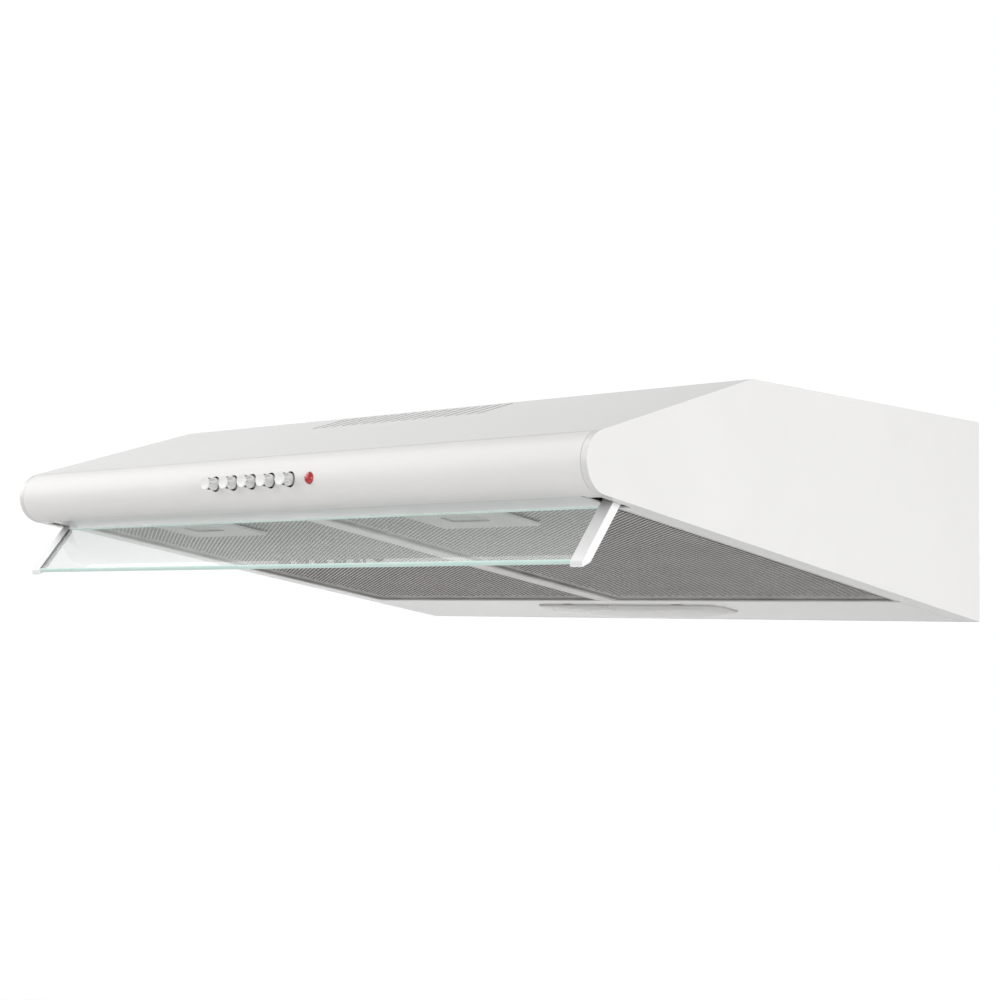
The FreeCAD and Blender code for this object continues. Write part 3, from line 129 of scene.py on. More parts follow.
# Rings of equal point counts are joined in order by quads. An open row of rings is closed at both ends by
# a fan about each end ring's middle; a looped row joins its last ring to its first.
def ringShell(rings, looped=False, finishOf=None):
    rings = np.asarray(rings, float)
    ringCount, count = rings.shape[:2]
    index = np.arange(ringCount * count).reshape(ringCount, count)
    here = index if looped else index[:-1]
    there = np.roll(index, -1, 0) if looped else index[1:]
    beside = np.roll(here, -1, 1)
    quads = np.stack([here, beside, np.roll(there, -1, 1), there], -1).reshape(-1, 4)
    finish = np.zeros(len(quads), int) if finishOf is None else finishOf(here // count, here % count).ravel()
    points = rings.reshape(-1, 3)
    if looped:
        return shell(points, quads, None, finish)
    first, last = len(points), len(points) + 1
    points = np.concatenate([points, rings[:1].mean(1), rings[-1:].mean(1)])
    near, far = index[0], index[-1]
    tris = np.concatenate([
        np.stack([np.full(count, first), np.roll(near, -1), near], -1),
        np.stack([np.full(count, last), far, np.roll(far, -1)], -1),
    ])
    ends = [np.full(count, finish[0]), np.full(count, finish[-1])]
    return shell(points, quads, tris, np.concatenate([finish] + ends))


def atHeight(loop, height):  # a flat loop of two columns, lifted to one height
    return np.column_stack([loop, np.full(len(loop), height)])


def atSide(loop, x):  # a flat loop of two columns, stood at one x
    return np.column_stack([np.full(len(loop), x), loop])


# A turned shell: every profile point (along, radius) becomes a circle about the axis through origin.
def turned(profile, origin, axis, count=48, looped=False):
    w = Vector(axis).normalized()
    u = w.orthogonal().normalized()
    v = w.cross(u)
    turn = np.linspace(0, 2 * math.pi, count, endpoint=False)
    circle = np.cos(turn)[:, None] * np.array(u) + np.sin(turn)[:, None] * np.array(v)
    profile = np.asarray(profile, float)
    middle = np.array(origin) + profile[:, :1] * np.array(w)
    rings = middle[:, None, :] + profile[:, 1, None, None] * circle[None]
    return ringShell(rings, looped)


def block(low, high, place):  # a box between two corners, carried to its spot by place
    x, y, z = np.array([low, high], float).T
    points = np.array([(x[i], y[j], z[k]) for i in (0, 1) for j in (0, 1) for k in (0, 1)])
    quads = [(0, 1, 3, 2), (4, 6, 7, 5), (0, 4, 5, 1), (2, 3, 7, 6), (0, 2, 6, 4), (1, 5, 7, 3)]
    return shell(place(points), quads)


# A tube along a helix: the middle is at radius r about the axis and climbs evenly; round it, each ring is
# tube radius times (cos q radial + sin q sideways), where sideways is square to the wire and the radial.
def coilSpring(start, axis, length, radius, wire, turns, perTurn=20, sides=8):
    w = Vector(axis).normalized()
    u = w.orthogonal().normalized()
    v = np.array(w.cross(u))
    u, w = np.array(u), np.array(w)
    t = np.linspace(0, 2 * math.pi * turns, int(turns * perTurn))[:, None]
    radial = np.cos(t) * u + np.sin(t) * v
    climb = (length - 2 * wire) / t[-1]
    middle = np.array(start) + radius * radial + (wire + climb * t) * w
    along = radius * (np.cos(t) * v - np.sin(t) * u) + climb * w
    along /= np.linalg.norm(along, axis=1, keepdims=True)
    sideways = np.cross(along, radial)
    q = np.linspace(0, 2 * math.pi, sides, endpoint=False)[None, :, None]
    rings = middle[:, None] + wire * (np.cos(q) * radial[:, None] + np.sin(q) * sideways[:, None])
    return ringShell(rings)


# A rounded rectangle about 0, 0, counted from its +x side. Each corner is a quarter circle, turned in place.
def roundedLoop(halfX, halfY, radius, perCorner=8):
    q = np.linspace(0, math.pi / 2, perCorner)
    x, y = radius * np.cos(q), radius * np.sin(q)
    parts = []
    for sx, sy, turn in ((1, 1, 0), (-1, 1, 1), (-1, -1, 2), (1, -1, 3)):
        c, k = math.cos(turn * math.pi / 2), math.sin(turn * math.pi / 2)
        corner = np.stack([x * c - y * k, x * k + y * c], -1)
        parts.append(corner + [sx * (halfX - radius), sy * (halfY - radius)])
    return np.concatenate(parts)


# Shells become one mesh on a body. A piece wears its slot's finish unless coats names others, which its
# shells' finish numbers pick from.
def makePiece(name, shells, body, slot, stands=(), sharp=35, coats=()):
    start, points, faces, finish = 0, [], [], []
    for made in shells:
        points.append(made["points"])
        faces += (made["quads"] + start).tolist() + (made["tris"] + start).tolist()
        finish.append(made["finish"])
        start += len(made["points"])
    mesh = bpy.data.meshes.new(name)
    mesh.from_pydata(np.concatenate(points).tolist(), [], faces)
    for coat in coats or (slot,):
        mesh.materials.append(finishes[coat])
    mesh.polygons.foreach_set("material_index", np.concatenate(finish).astype(np.int32))
    mesh.polygons.foreach_set("use_smooth", np.ones(len(faces), bool))
    mesh.set_sharp_from_angle(angle=math.radians(sharp))
    mesh.update()
    piece = bpy.data.objects.new(name, mesh)
    bpy.context.scene.collection.objects.link(piece)
    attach(piece, body)
    if stands:
        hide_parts(*stands)
    return piece


def addBevel(piece, width, segments=3):
    bevel = piece.modifiers.new("edges", "BEVEL")
    bevel.width = width
    bevel.segments = segments
    bevel.limit_method = "ANGLE"
    bevel.angle_limit = math.radians(30)


def evenShading(piece):  # large faces keep their own normals where they meet small rounded ones
    even = piece.modifiers.new("normals", "WEIGHTED_NORMAL")
    even.mode = "FACE_AREA"
    even.weight = 100
    even.keep_sharp = True


def addNode(tree, kind, inputs=None, **settings):
    node = tree.nodes.new(kind)
    for key, value in settings.items():
        setattr(node, key, value)
    for key, value in (inputs or {}).items():
        node.inputs[key].default_value = value
    return node


# A finish is one shader. A soft noise runs its colour between two tones and its roughness between two values,
# and a fine grain raises its surface.
noiseSpan = (0.3, 0.7)  # the noise values where the first tone ends and the second is reached


def makeFinish(name, look):
    material = bpy.data.materials.new(name)
    material.use_nodes = True
    tree = material.node_tree
    link = tree.links.new
    shader = tree.nodes["Principled BSDF"]
    for socket, value in look.get("sockets", {}).items():
        shader.inputs[socket].default_value = value
    place = addNode(tree, "ShaderNodeTexCoord").outputs["Object"]
    mottle = addNode(tree, "ShaderNodeTexNoise", {"Scale": look["mottle"], "Detail": 4.0, "Roughness": 0.6})
    link(place, mottle.inputs["Vector"])
    tones = addNode(tree, "ShaderNodeValToRGB")
    for element, position, tone in zip(tones.color_ramp.elements, noiseSpan, look["tones"]):
        element.position = position
        element.color = (*tone, 1)
    link(mottle.outputs["Fac"], tones.inputs["Fac"])
    link(tones.outputs["Color"], shader.inputs["Base Color"])
    low, high = look["rough"]
    spread = addNode(tree, "ShaderNodeMapRange", {
        "From Min": noiseSpan[0], "From Max": noiseSpan[1], "To Min": low, "To Max": high})
    link(mottle.outputs["Fac"], spread.inputs["Value"])
    link(spread.outputs["Result"], shader.inputs["Roughness"])
    bump = addNode(tree, "ShaderNodeBump", {"Strength": look.get("strength", 0.5), "Distance": look["depth"]})
    link(grainHeight(tree, look, place), bump.inputs["Height"])
    link(bump.outputs["Normal"], shader.inputs["Normal"])
    return material


def grainHeight(tree, look, place):  # the relief that is raised: cells, lines or plain noise
    kind, scale = look["grain"]
    if kind == "cells":
        grain = addNode(tree, "ShaderNodeTexVoronoi", {"Scale": scale, "Randomness": 1.0})
    elif kind == "lines":
        settings = {"Scale": scale, "Distortion": 1.5, "Detail": 2.0}
        grain = addNode(tree, "ShaderNodeTexWave", settings, bands_direction="Z")
    else:
        grain = addNode(tree, "ShaderNodeTexNoise", {"Scale": scale, "Detail": 3.0, "Roughness": 0.55})
    tree.links.new(place, grain.inputs["Vector"])
    return grain.outputs["Distance" if kind == "cells" else "Fac"]


looks = {
    "body_white": {  # powder enamel on sheet steel, with a faint orange peel
        "tones": ((0.70, 0.695, 0.69), (0.73, 0.725, 0.715)), "rough": (0.28, 0.36), "mottle": 9,
        "grain": ("noise", 420), "depth": 0.06 * mm, "strength": 0.35,
        "sockets": {"Coat Weight": 0.35, "Coat Roughness": 0.12, "Specular IOR Level": 0.45},
    },
    "fascia_white": {  # warmer, satin stove enamel
        "tones": ((0.78, 0.77, 0.755), (0.81, 0.80, 0.785)), "rough": (0.44, 0.52), "mottle": 7,
        "grain": ("noise", 380), "depth": 0.05 * mm, "strength": 0.3,
        "sockets": {"Coat Weight": 0.15, "Coat Roughness": 0.32},
    },
    "zinc_steel": {  # zinc plate with crystal spangle
        "tones": ((0.46, 0.47, 0.48), (0.66, 0.67, 0.68)), "rough": (0.28, 0.46), "mottle": 90,
        "grain": ("cells", 160), "depth": 0.04 * mm, "sockets": {"Metallic": 1.0},
    },
    "button_chrome": {
        "tones": ((0.84, 0.84, 0.84), (0.91, 0.91, 0.91)), "rough": (0.12, 0.20), "mottle": 300,
        "grain": ("noise", 2500), "depth": 0.01 * mm, "sockets": {"Metallic": 1.0},
    },
    "spring_steel": {
        "tones": ((0.33, 0.33, 0.34), (0.50, 0.50, 0.51)), "rough": (0.22, 0.38), "mottle": 700,
        "grain": ("noise", 4000), "depth": 0.02 * mm, "sockets": {"Metallic": 1.0},
    },
    "black_plastic": {  # spark-eroded matt moulding
        "tones": ((0.018, 0.018, 0.019), (0.036, 0.036, 0.038)), "rough": (0.42, 0.58), "mottle": 40,
        "grain": ("noise", 1800), "depth": 0.06 * mm, "strength": 0.6, "sockets": {"Specular IOR Level": 0.4},
    },
    "red_lens": {
        "tones": ((0.50, 0.008, 0.010), (0.66, 0.014, 0.014)), "rough": (0.06, 0.12), "mottle": 260,
        "grain": ("cells", 900), "depth": 0.05 * mm, "strength": 0.3,
        "sockets": {"Coat Weight": 1.0, "Coat Roughness": 0.03, "Transmission Weight": 0.25, "IOR": 1.49},
    },
    "filter_aluminium": {  # stretched aluminium foil, dulled in patches
        "tones": ((0.64, 0.63, 0.61), (0.78, 0.77, 0.75)), "rough": (0.34, 0.50), "mottle": 26,
        "grain": ("noise", 1500), "depth": 0.03 * mm, "sockets": {"Metallic": 0.85},
    },
    "latch_grey": {
        "tones": ((0.44, 0.44, 0.43), (0.49, 0.49, 0.48)), "rough": (0.36, 0.46), "mottle": 30,
        "grain": ("noise", 1600), "depth": 0.03 * mm, "sockets": {"Specular IOR Level": 0.5},
    },
    "arm_white": {
        "tones": ((0.80, 0.80, 0.80), (0.85, 0.85, 0.85)), "rough": (0.22, 0.30), "mottle": 30,
        "grain": ("noise", 1300), "depth": 0.03 * mm,
        "sockets": {"Coat Weight": 0.3, "Coat Roughness": 0.1},
    },
    "diffuser_white": {  # milky moulding, a little clear in depth
        "tones": ((0.55, 0.54, 0.53), (0.61, 0.60, 0.59)), "rough": (0.26, 0.34), "mottle": 16,
        "grain": ("noise", 900), "depth": 0.03 * mm,
        "sockets": {"Transmission Weight": 0.18, "IOR": 1.5, "Coat Weight": 0.4, "Coat Roughness": 0.1},
    },
    "reflector_bright": {  # hammered bright aluminium
        "tones": ((0.76, 0.76, 0.77), (0.86, 0.86, 0.87)), "rough": (0.12, 0.22), "mottle": 40,
        "grain": ("cells", 300), "depth": 0.5 * mm, "strength": 0.7, "sockets": {"Metallic": 1.0},
    },
    "holder_ceramic": {
        "tones": ((0.76, 0.73, 0.66), (0.82, 0.80, 0.74)), "rough": (0.14, 0.26), "mottle": 60,
        "grain": ("noise", 600), "depth": 0.05 * mm, "sockets": {"Coat Weight": 0.8, "Coat Roughness": 0.05},
    },
    "motor_steel": {  # grey enamel over stacked laminations
        "tones": ((0.055, 0.058, 0.064), (0.085, 0.09, 0.098)), "rough": (0.30, 0.44), "mottle": 60,
        "grain": ("lines", 320), "depth": 0.25 * mm, "strength": 0.8, "sockets": {"Metallic": 0.6},
    },
    "capacitor_white": {
        "tones": ((0.74, 0.73, 0.70), (0.80, 0.79, 0.765)), "rough": (0.25, 0.36), "mottle": 50,
        "grain": ("noise", 900), "depth": 0.04 * mm, "sockets": {"Coat Weight": 0.3},
    },
    "charcoal_black": {  # needled carbon fibre fleece
        "tones": ((0.010, 0.010, 0.011), (0.040, 0.040, 0.042)), "rough": (0.75, 0.95), "mottle": 420,
        "grain": ("noise", 1400), "depth": 0.5 * mm, "strength": 1.0,
        "sockets": {"Sheen Weight": 0.3, "Sheen Roughness": 0.5},
    },
    "wire_white": {
        "tones": ((0.66, 0.66, 0.66), (0.74, 0.74, 0.74)), "rough": (0.45, 0.6), "mottle": 60,
        "grain": ("noise", 1200), "depth": 0.05 * mm, "sockets": {"Specular IOR Level": 0.35},
    },
    "visor_clear": {
        "tones": ((0.955, 0.985, 0.972), (0.965, 0.99, 0.98)), "rough": (0.0, 0.01), "mottle": 5,
        "grain": ("noise", 40), "depth": 0.01 * mm, "strength": 0.1,
        "sockets": {"Transmission Weight": 0.86, "IOR": 1.45, "Specular IOR Level": 0.5},
    },
    "bulb_glass": {
        "tones": ((0.95, 0.95, 0.93), (0.98, 0.98, 0.97)), "rough": (0.01, 0.03), "mottle": 30,
        "grain": ("noise", 200), "depth": 0.02 * mm, "strength": 0.1,
        "sockets": {"Transmission Weight": 1.0, "IOR": 1.45},
    },
    "glassEdge": {  # the ground lower edge, where the blade's depth of green shows
        "tones": ((0.60, 0.79, 0.74), (0.68, 0.84, 0.79)), "rough": (0.30, 0.40), "mottle": 60,
        "grain": ("noise", 1200), "depth": 0.03 * mm, "strength": 0.3, "sockets": {"Specular IOR Level": 0.4},
    },
    "glassTopEdge": {  # the polished upper edge, with a painted glow and a painted highlight: a faint emission and light tones make it read bright in the shade under the fascia
        "tones": ((0.80, 0.90, 0.87), (0.86, 0.94, 0.91)), "rough": (0.20, 0.30), "mottle": 60,
        "grain": ("noise", 1200), "depth": 0.03 * mm, "strength": 0.3,
        "sockets": {"Emission Color": (0.80, 0.93, 0.89, 1), "Emission Strength": 0.25},
    },
    "buttonCap": {
        "tones": ((0.80, 0.80, 0.79), (0.86, 0.86, 0.85)), "rough": (0.18, 0.26), "mottle": 200,
        "grain": ("noise", 2500), "depth": 0.01 * mm, "sockets": {"Coat Weight": 0.5, "Coat Roughness": 0.06},
    },
    # painted shade for the dark wedges above and below the button barrel
    "buttonWaist": {
        "tones": ((0.03, 0.03, 0.03), (0.06, 0.06, 0.06)), "rough": (0.30, 0.40), "mottle": 300,
        "grain": ("noise", 2500), "depth": 0.01 * mm, "sockets": {"Specular IOR Level": 0.2},
    },
    "filterPack": {  # crumpled aluminium layers inside the filter, coloured near black as painted shade where little light reaches
        "tones": ((0.008, 0.008, 0.007), (0.030, 0.029, 0.028)), "rough": (0.60, 0.80), "mottle": 240,
        "grain": ("cells", 520), "depth": 0.6 * mm, "strength": 1.0, "sockets": {"Specular IOR Level": 0.15},
    },
    "brass": {
        "tones": ((0.62, 0.46, 0.20), (0.72, 0.55, 0.26)), "rough": (0.22, 0.34), "mottle": 120,
        "grain": ("noise", 1500), "depth": 0.03 * mm, "sockets": {"Metallic": 1.0},
    },
    "filament": {
        "tones": ((0.20, 0.19, 0.18), (0.30, 0.29, 0.28)), "rough": (0.35, 0.5), "mottle": 900,
        "grain": ("noise", 4000), "depth": 0.01 * mm, "sockets": {"Metallic": 1.0},
    },
}
finishes = {name: makeFinish(name, look) for name, look in looks.items()}
for part in frame["record"]["subparts"]:
    for holder in frame["nodes"][part["node"]].material_slots:
        holder.material = finishes[part["material_slot"]]
print("finishes made:", len(finishes))


# Stretched sheet: holes lie in staggered rows, each in a four-cornered cell. A cell's corners are shared by
# four cells and lie half the sheet's thickness below and above its middle, and the hole's own corners lie on
# the middle. At the sheet's edge it has no depth. Under the latch plate the cells stop a lap inside its edge.
weave = {
    "pitchAcross": 5.29 * mm, "pitchAlong": 3.61 * mm, "holeAcross": 0.76, "holeAlong": 0.76,
    "backPitch": 1.7, "thickness": 0.06 * mm, "border": 0.2 * mm, "sheet": 0.8 * mm, "plateLap": 1.5 * mm,
}
rowKey = 100000  # more than any sheet has rows, so that column and row make one number


def stretchedSheet(low, high, level, notch, coarse=1.0):
    stepX, stepS = weave["pitchAcross"] * coarse / 2, weave["pitchAlong"] * coarse / 2
    countX = int((high[0] - low[0]) / stepX / 2) * 2
    countS = int((high[1] - low[1]) / stepS / 2) * 2
    startX = (low[0] + high[0] - countX * stepX) / 2
    startS = (low[1] + high[1] - countS * stepS) / 2
    a, b = np.meshgrid(np.arange(1, countX), np.arange(1, countS), indexing="ij")
    keep = (a + b) % 2 == 0
    a, b = a[keep], b[keep]
    x, s = startX + a * stepX, startS + b * stepS
    if notch is not None:
        lap = weave["plateLap"]
        inside = (x > notch[0] + lap) & (x < notch[1] - lap) & (s > notch[2] + lap)
        a, b, x, s = a[~inside], b[~inside], x[~inside], s[~inside]
    turnX, turnS = np.array([1, 0, -1, 0]), np.array([0, 1, 0, -1])
    key = (a[:, None] + turnX) * rowKey + b[:, None] + turnS
    found, corner, uses = np.unique(key.ravel(), return_inverse=True, return_counts=True)
    corner = corner.reshape(key.shape)
    cornerX, cornerS = startX + (found // rowKey) * stepX, startS + (found % rowKey) * stepS
    depth = np.where(uses == 4, weave["thickness"] / 2, 0.0)
    count = len(found)
    front = np.stack([cornerX, cornerS, level - depth], -1)
    back = np.stack([cornerX, cornerS, level + depth], -1)
    holeX = x[:, None] + turnX * stepX * weave["holeAcross"]
    holeS = s[:, None] + turnS * stepS * weave["holeAlong"]
    hole = np.stack([holeX, holeS, np.full_like(holeX, level)], -1).reshape(-1, 3)
    inner = 2 * count + np.arange(len(hole)).reshape(-1, 4)
    behind = np.where(uses[corner] == 4, corner + count, corner)
    after = lambda values: np.roll(values, -1, 1)
    quads = [np.stack([corner, after(corner), after(inner), inner], -1).reshape(-1, 4)]
    quads.append(np.stack([after(behind), behind, inner, after(inner)], -1).reshape(-1, 4))
    points = onSlope(np.concatenate([front, back, hole]))
    quads = np.concatenate(quads)
    used, place = np.unique(quads.ravel(), return_inverse=True)  # drops the corners that no face uses
    return shell(points[used], place.reshape(-1, 4))


# The pack inside is a crumpled sheet: its height is a sum of two crossed waves, with a second skin above it.
packing = {
    "waveAcross": 9.0 * mm, "waveAlong": 7.0 * mm, "depth": 0.9 * mm, "skin": 0.4 * mm, "step": 2.0 * mm,
}


def crumpledPack(low, high, level):
    x = np.linspace(low[0], high[0], int((high[0] - low[0]) / packing["step"]))
    s = np.linspace(low[1], high[1], int((high[1] - low[1]) / packing["step"]))
    x, s = np.meshgrid(x, s, indexing="ij")
    wave = np.sin(2 * math.pi * x / packing["waveAcross"] + 3 * np.sin(s / packing["waveAlong"]))
    wave = wave + np.sin(2 * math.pi * s / packing["waveAlong"] + 2 * np.cos(x / packing["waveAcross"]))
    n = level + packing["depth"] * wave / 2
    return sheetShell(x, s, n, n + packing["skin"])


# Two surfaces over one grid on the slope, at the heights n and above, closed round the border.
def sheetShell(x, s, n, above):
    rows, columns = x.shape
    index = np.arange(rows * columns).reshape(rows, columns)
    lower = np.stack([index[:-1, :-1], index[1:, :-1], index[1:, 1:], index[:-1, 1:]], -1).reshape(-1, 4)
    upper = lower[:, ::-1] + rows * columns
    border = np.concatenate([index[:-1, 0], index[-1, :-1], index[:0:-1, -1], index[0, :0:-1]])
    beyond = np.roll(border, -1)
    wall = np.stack([beyond, border, border + rows * columns, beyond + rows * columns], -1)
    points = np.concatenate([np.stack([x, s, height], -1).reshape(-1, 3) for height in (n, above)])
    return shell(onSlope(points), np.concatenate([lower, upper, wall]))


for side in ("left", "right"):
    low, high = slopeBox(f"filter_mesh_{side}")
    plateLow, plateHigh = slopeBox(f"latch_plate_{side}")
    border = weave["border"]
    low, high = low + [border, border, 0], high - [border, border, 0]
    front, back = low[2] + weave["sheet"] / 2, high[2] - weave["sheet"] / 2
    notch = (plateLow[0], plateHigh[0], plateLow[1])
    makePiece(
        f"filterMesh.{side}", [stretchedSheet(low, high, front, notch)], f"filter_{side}", "filter_aluminium",
        [f"filter_mesh_{side}"], sharp=60,
    )
    makePiece(
        f"filterBackMesh.{side}", [stretchedSheet(low, high, back, None, weave["backPitch"])],
        f"filter_{side}", "filter_aluminium", sharp=60,
    )
    # the pack wears the near-black painted shade finish in place of bare aluminium
    makePiece(
        f"filterPack.{side}", [crumpledPack(low, high, (front + back) / 2)], f"filter_{side}",
        "filter_aluminium", coats=("filterPack",),
    )
print("grease filters woven")


# Latch plates: a pressed tray carried as rounded rectangles from its skirt, over its face, into the
# finger window and back behind, and a sliding bolt whose thumb piece has rounded ridges
plate = {
    "corner": 2.5 * mm, "leastCorner": 0.4 * mm, "press": 1.1 * mm, "sheet": 0.8 * mm, "flat": 1.5 * mm,
    "windowHalf": 17.5 * mm, "windowFrom": 23.5 * mm, "windowTo": 7.5 * mm, "windowCorner": 3.0 * mm,
    "windowRim": 0.7 * mm, "backGap": 0.1 * mm, "skirtGap": 0.2 * mm, "guide": 1.5 * mm,
    "guideRoom": 0.3 * mm, "guideHigh": 4.5 * mm, "guideBehind": 9.0 * mm, "guideShort": 4.0 * mm,
}
bolt = {
    "noseLength": 8.0 * mm, "overPlate": 1.2 * mm, "overRail": 0.3 * mm, "padLength": 9.0 * mm,
    "padGap": 0.3 * mm, "padSide": 1.5 * mm, "ridges": 4, "ridgeDepth": 0.5 * mm,
}


def latchPlate(side):
    low, high = slopeBox(f"latch_plate_{side}")
    rimTop = slopeBox(f"filter_frame_{side}")[0][2]  # the tray's skirt ends where the frame's lip starts
    middle = (low[:2] + high[:2]) / 2
    half = (high[:2] - low[:2]) / 2
    windowMiddle = np.array([middle[0], high[1] - (plate["windowFrom"] + plate["windowTo"]) / 2])
    windowHalf = np.array([plate["windowHalf"], (plate["windowFrom"] - plate["windowTo"]) / 2])
    face, thick, press, rim = low[2], plate["sheet"], plate["press"], plate["windowRim"]
    flat, back = plate["flat"], face + thick + plate["backGap"]

    def outer(inset, n):
        corner = max(plate["corner"] - inset, plate["leastCorner"])
        return atHeight(roundedLoop(*(half - inset), corner) + middle, n)

    def window(grow, n):
        return atHeight(roundedLoop(*(windowHalf + grow), plate["windowCorner"] + grow) + windowMiddle, n)

    turn = np.linspace(0, math.pi / 2, 5)
    loops = [outer(0, rimTop)]
    loops += [outer(press * (1 - math.cos(q)), face + press * (1 - math.sin(q))) for q in turn]
    loops += [outer(press + flat, face), window(rim + flat, face)]
    # the face dips before the window and comes back to its level as a rounded bead
    loops += [window(rim * math.cos(q), face + rim * (1 - math.sin(q))) for q in turn[1:]]
    loops += [window(0, back), window(rim + flat, back), outer(press + flat, back)]
    loops += [outer(thick, face + press + plate["skirtGap"]), outer(thick, rimTop)]
    made = [ringShell(onSlope(np.array(loops)), looped=True)]
    # two guides beside the bolt and a wall behind its spring
    boltLow, boltHigh = slopeBox(f"filter_latch_{side}")
    room, guide, base = plate["guideRoom"], plate["guide"], face + thick
    ridge, start = base + plate["guideHigh"], boltLow[1] - plate["guideBehind"]
    for edge, sign in ((boltLow[0], -1), (boltHigh[0], 1)):
        x = sorted((edge + sign * room, edge + sign * (room + guide)))
        made.append(block((x[0], start, base), (x[1], high[1] - plate["guideShort"], ridge), onSlope))
    x = (boltLow[0] - room - guide, boltHigh[0] + room + guide)
    made.append(block((x[0], start - guide, base), (x[1], start, ridge), onSlope))
    piece = makePiece(
        f"latchPlate.{side}", made, f"filter_{side}", "latch_grey",
        [f"latch_plate_{side}"], sharp=50,
    )
    evenShading(piece)


# Thumb piece: its lower face is n = lowest + depth (1 - |cos|) along s, so rounded ridges run across it.
def latchBolt(side):
    low, high = slopeBox(f"filter_latch_{side}")
    plateLow, plateHigh = slopeBox(f"latch_plate_{side}")
    slideLow = plateLow[2] + bolt["overPlate"]
    noseLow = slopeBox("front_rail")[1][2] + bolt["overRail"]  # the nose rides just over the rail's lip
    nose = high[1] - bolt["noseLength"]
    slab = block((low[0], low[1], slideLow), (high[0], nose, high[2]), onSlope)
    tip = block((low[0], nose, noseLow), (high[0], high[1], high[2]), onSlope)
    end = plateHigh[1] - plate["windowTo"] - bolt["padGap"]
    s = np.linspace(end - bolt["padLength"], end, 41)
    x = np.linspace(low[0] + bolt["padSide"], high[0] - bolt["padSide"], 12)
    x, s = np.meshgrid(x, s, indexing="ij")
    wave = np.abs(np.cos(math.pi * bolt["ridges"] * (s - s.min()) / (s.max() - s.min())))
    n = low[2] + bolt["ridgeDepth"] * (1 - wave)
    pad = sheetShell(x, s, n, np.full_like(n, slideLow))
    piece = makePiece(
        f"latchBolt.{side}", [slab, tip, pad], f"latch_{side}", "latch_grey",
        [f"filter_latch_{side}"], sharp=40,
    )
    evenShading(piece)


for side in ("left", "right"):
    latchPlate(side)
    latchBolt(side)
print("latches made")


# Glass visor, drawn hanging straight down from its pivot and then turned to its open angle
visor = {
    "angle": 51.9, "front": -2.7 * mm, "thickness": 4.0 * mm, "top": 7.5 * mm, "bottom": 52.2 * mm,
    "armThickness": 6.5 * mm, "reach": 55.0 * mm, "eye": 4.0 * mm, "tipSlope": 2.7 * mm, "tipBack": 7.0 * mm,
    "tongue": 2.0 * mm, "tongueTop": 9.0 * mm, "tongueLow": 46.2 * mm, "armBevel": 0.7 * mm,
    "edgeRound": 1.4 * mm,
}
pivot = np.array(joints["visor_tilt"]["pos_m"])


def hang(points):  # turned about X by the angle left to straight down, then moved to the pivot
    points = np.asarray(points, float)
    turn = -math.radians(90 - visor["angle"])
    y = points[..., 1] * math.cos(turn) - points[..., 2] * math.sin(turn)
    z = points[..., 1] * math.sin(turn) + points[..., 2] * math.cos(turn)
    return np.stack([points[..., 0], y + pivot[1], z + pivot[2]], -1)


# Blade: a rounded rectangle in the plane across it, carried straight along x. Its long edges are ground.
def visorGlass():
    low, high = box("visor_glass")
    halfThick, halfTall = visor["thickness"] / 2, (visor["bottom"] - visor["top"]) / 2
    loop = roundedLoop(halfThick, halfTall, visor["edgeRound"], 7)
    middle = (visor["front"] + halfThick, -(visor["bottom"] + visor["top"]) / 2)
    rings = [atSide(loop + middle, x) for x in (low[0], low[0] / 3, high[0] / 3, high[0])]
    tall = np.abs(loop[:, 1] + np.roll(loop[:, 1], -1)) / 2  # the middle of each side of the loop
    ground = tall > halfTall - visor["edgeRound"]
    kind = ground * np.where(loop[:, 1] < 0, 1, 2)  # the loop's lower side, then its upper side
    # the upper side wears the finish with the painted glow and painted highlight
    made = ringShell(hang(np.array(rings)), finishOf=lambda ring, point: kind[point])
    made["finish"][-2 * len(loop):] = 0  # both ends stay clear
    piece = makePiece(
        "visorGlass", [made], "visor", "visor_clear", ["visor_glass"], sharp=30,
        coats=("visor_clear", "glassEdge", "glassTopEdge"),
    )
    evenShading(piece)


# Arm: round at the pivot, straight down to a tip cut on both sides, carried across its width.
def visorArm(side):
    low, high = box(f"visor_arm_{side}")
    outer = high[0] if side == "right" else low[0]
    glassEnd = box("visor_glass")[1][0] if side == "right" else box("visor_glass")[0][0]
    front, back = visor["front"], visor["armThickness"] + visor["front"]
    radius, tip = visor["eye"], -visor["reach"]
    turn = np.linspace(math.acos(back / radius), math.pi - math.acos(-front / radius), 20)
    arc = np.stack([radius * np.cos(turn), radius * np.sin(turn)], -1)
    rest = [(front, -visor["bottom"]), (front + visor["tipSlope"], tip), (back, tip + visor["tipBack"])]
    outline = np.concatenate([arc, np.array(rest)])
    rings = [atSide(outline, x) for x in sorted((outer, glassEnd))]
    bar = ringShell(hang(np.array(rings)))
    ends = sorted((glassEnd, glassEnd - math.copysign(visor["tongue"], outer)))
    tongueLow = (ends[0], front + visor["thickness"], -visor["tongueLow"])
    tongue = block(tongueLow, (ends[1], back, -visor["tongueTop"]), hang)
    piece = makePiece(
        f"visorArm.{side}", [bar, tongue], "visor", "arm_white",
        [f"visor_arm_{side}"], sharp=30,
    )
    addBevel(piece, visor["armBevel"])
    evenShading(piece)


visorGlass()
visorArm("left")
visorArm("right")
print("visor hung")


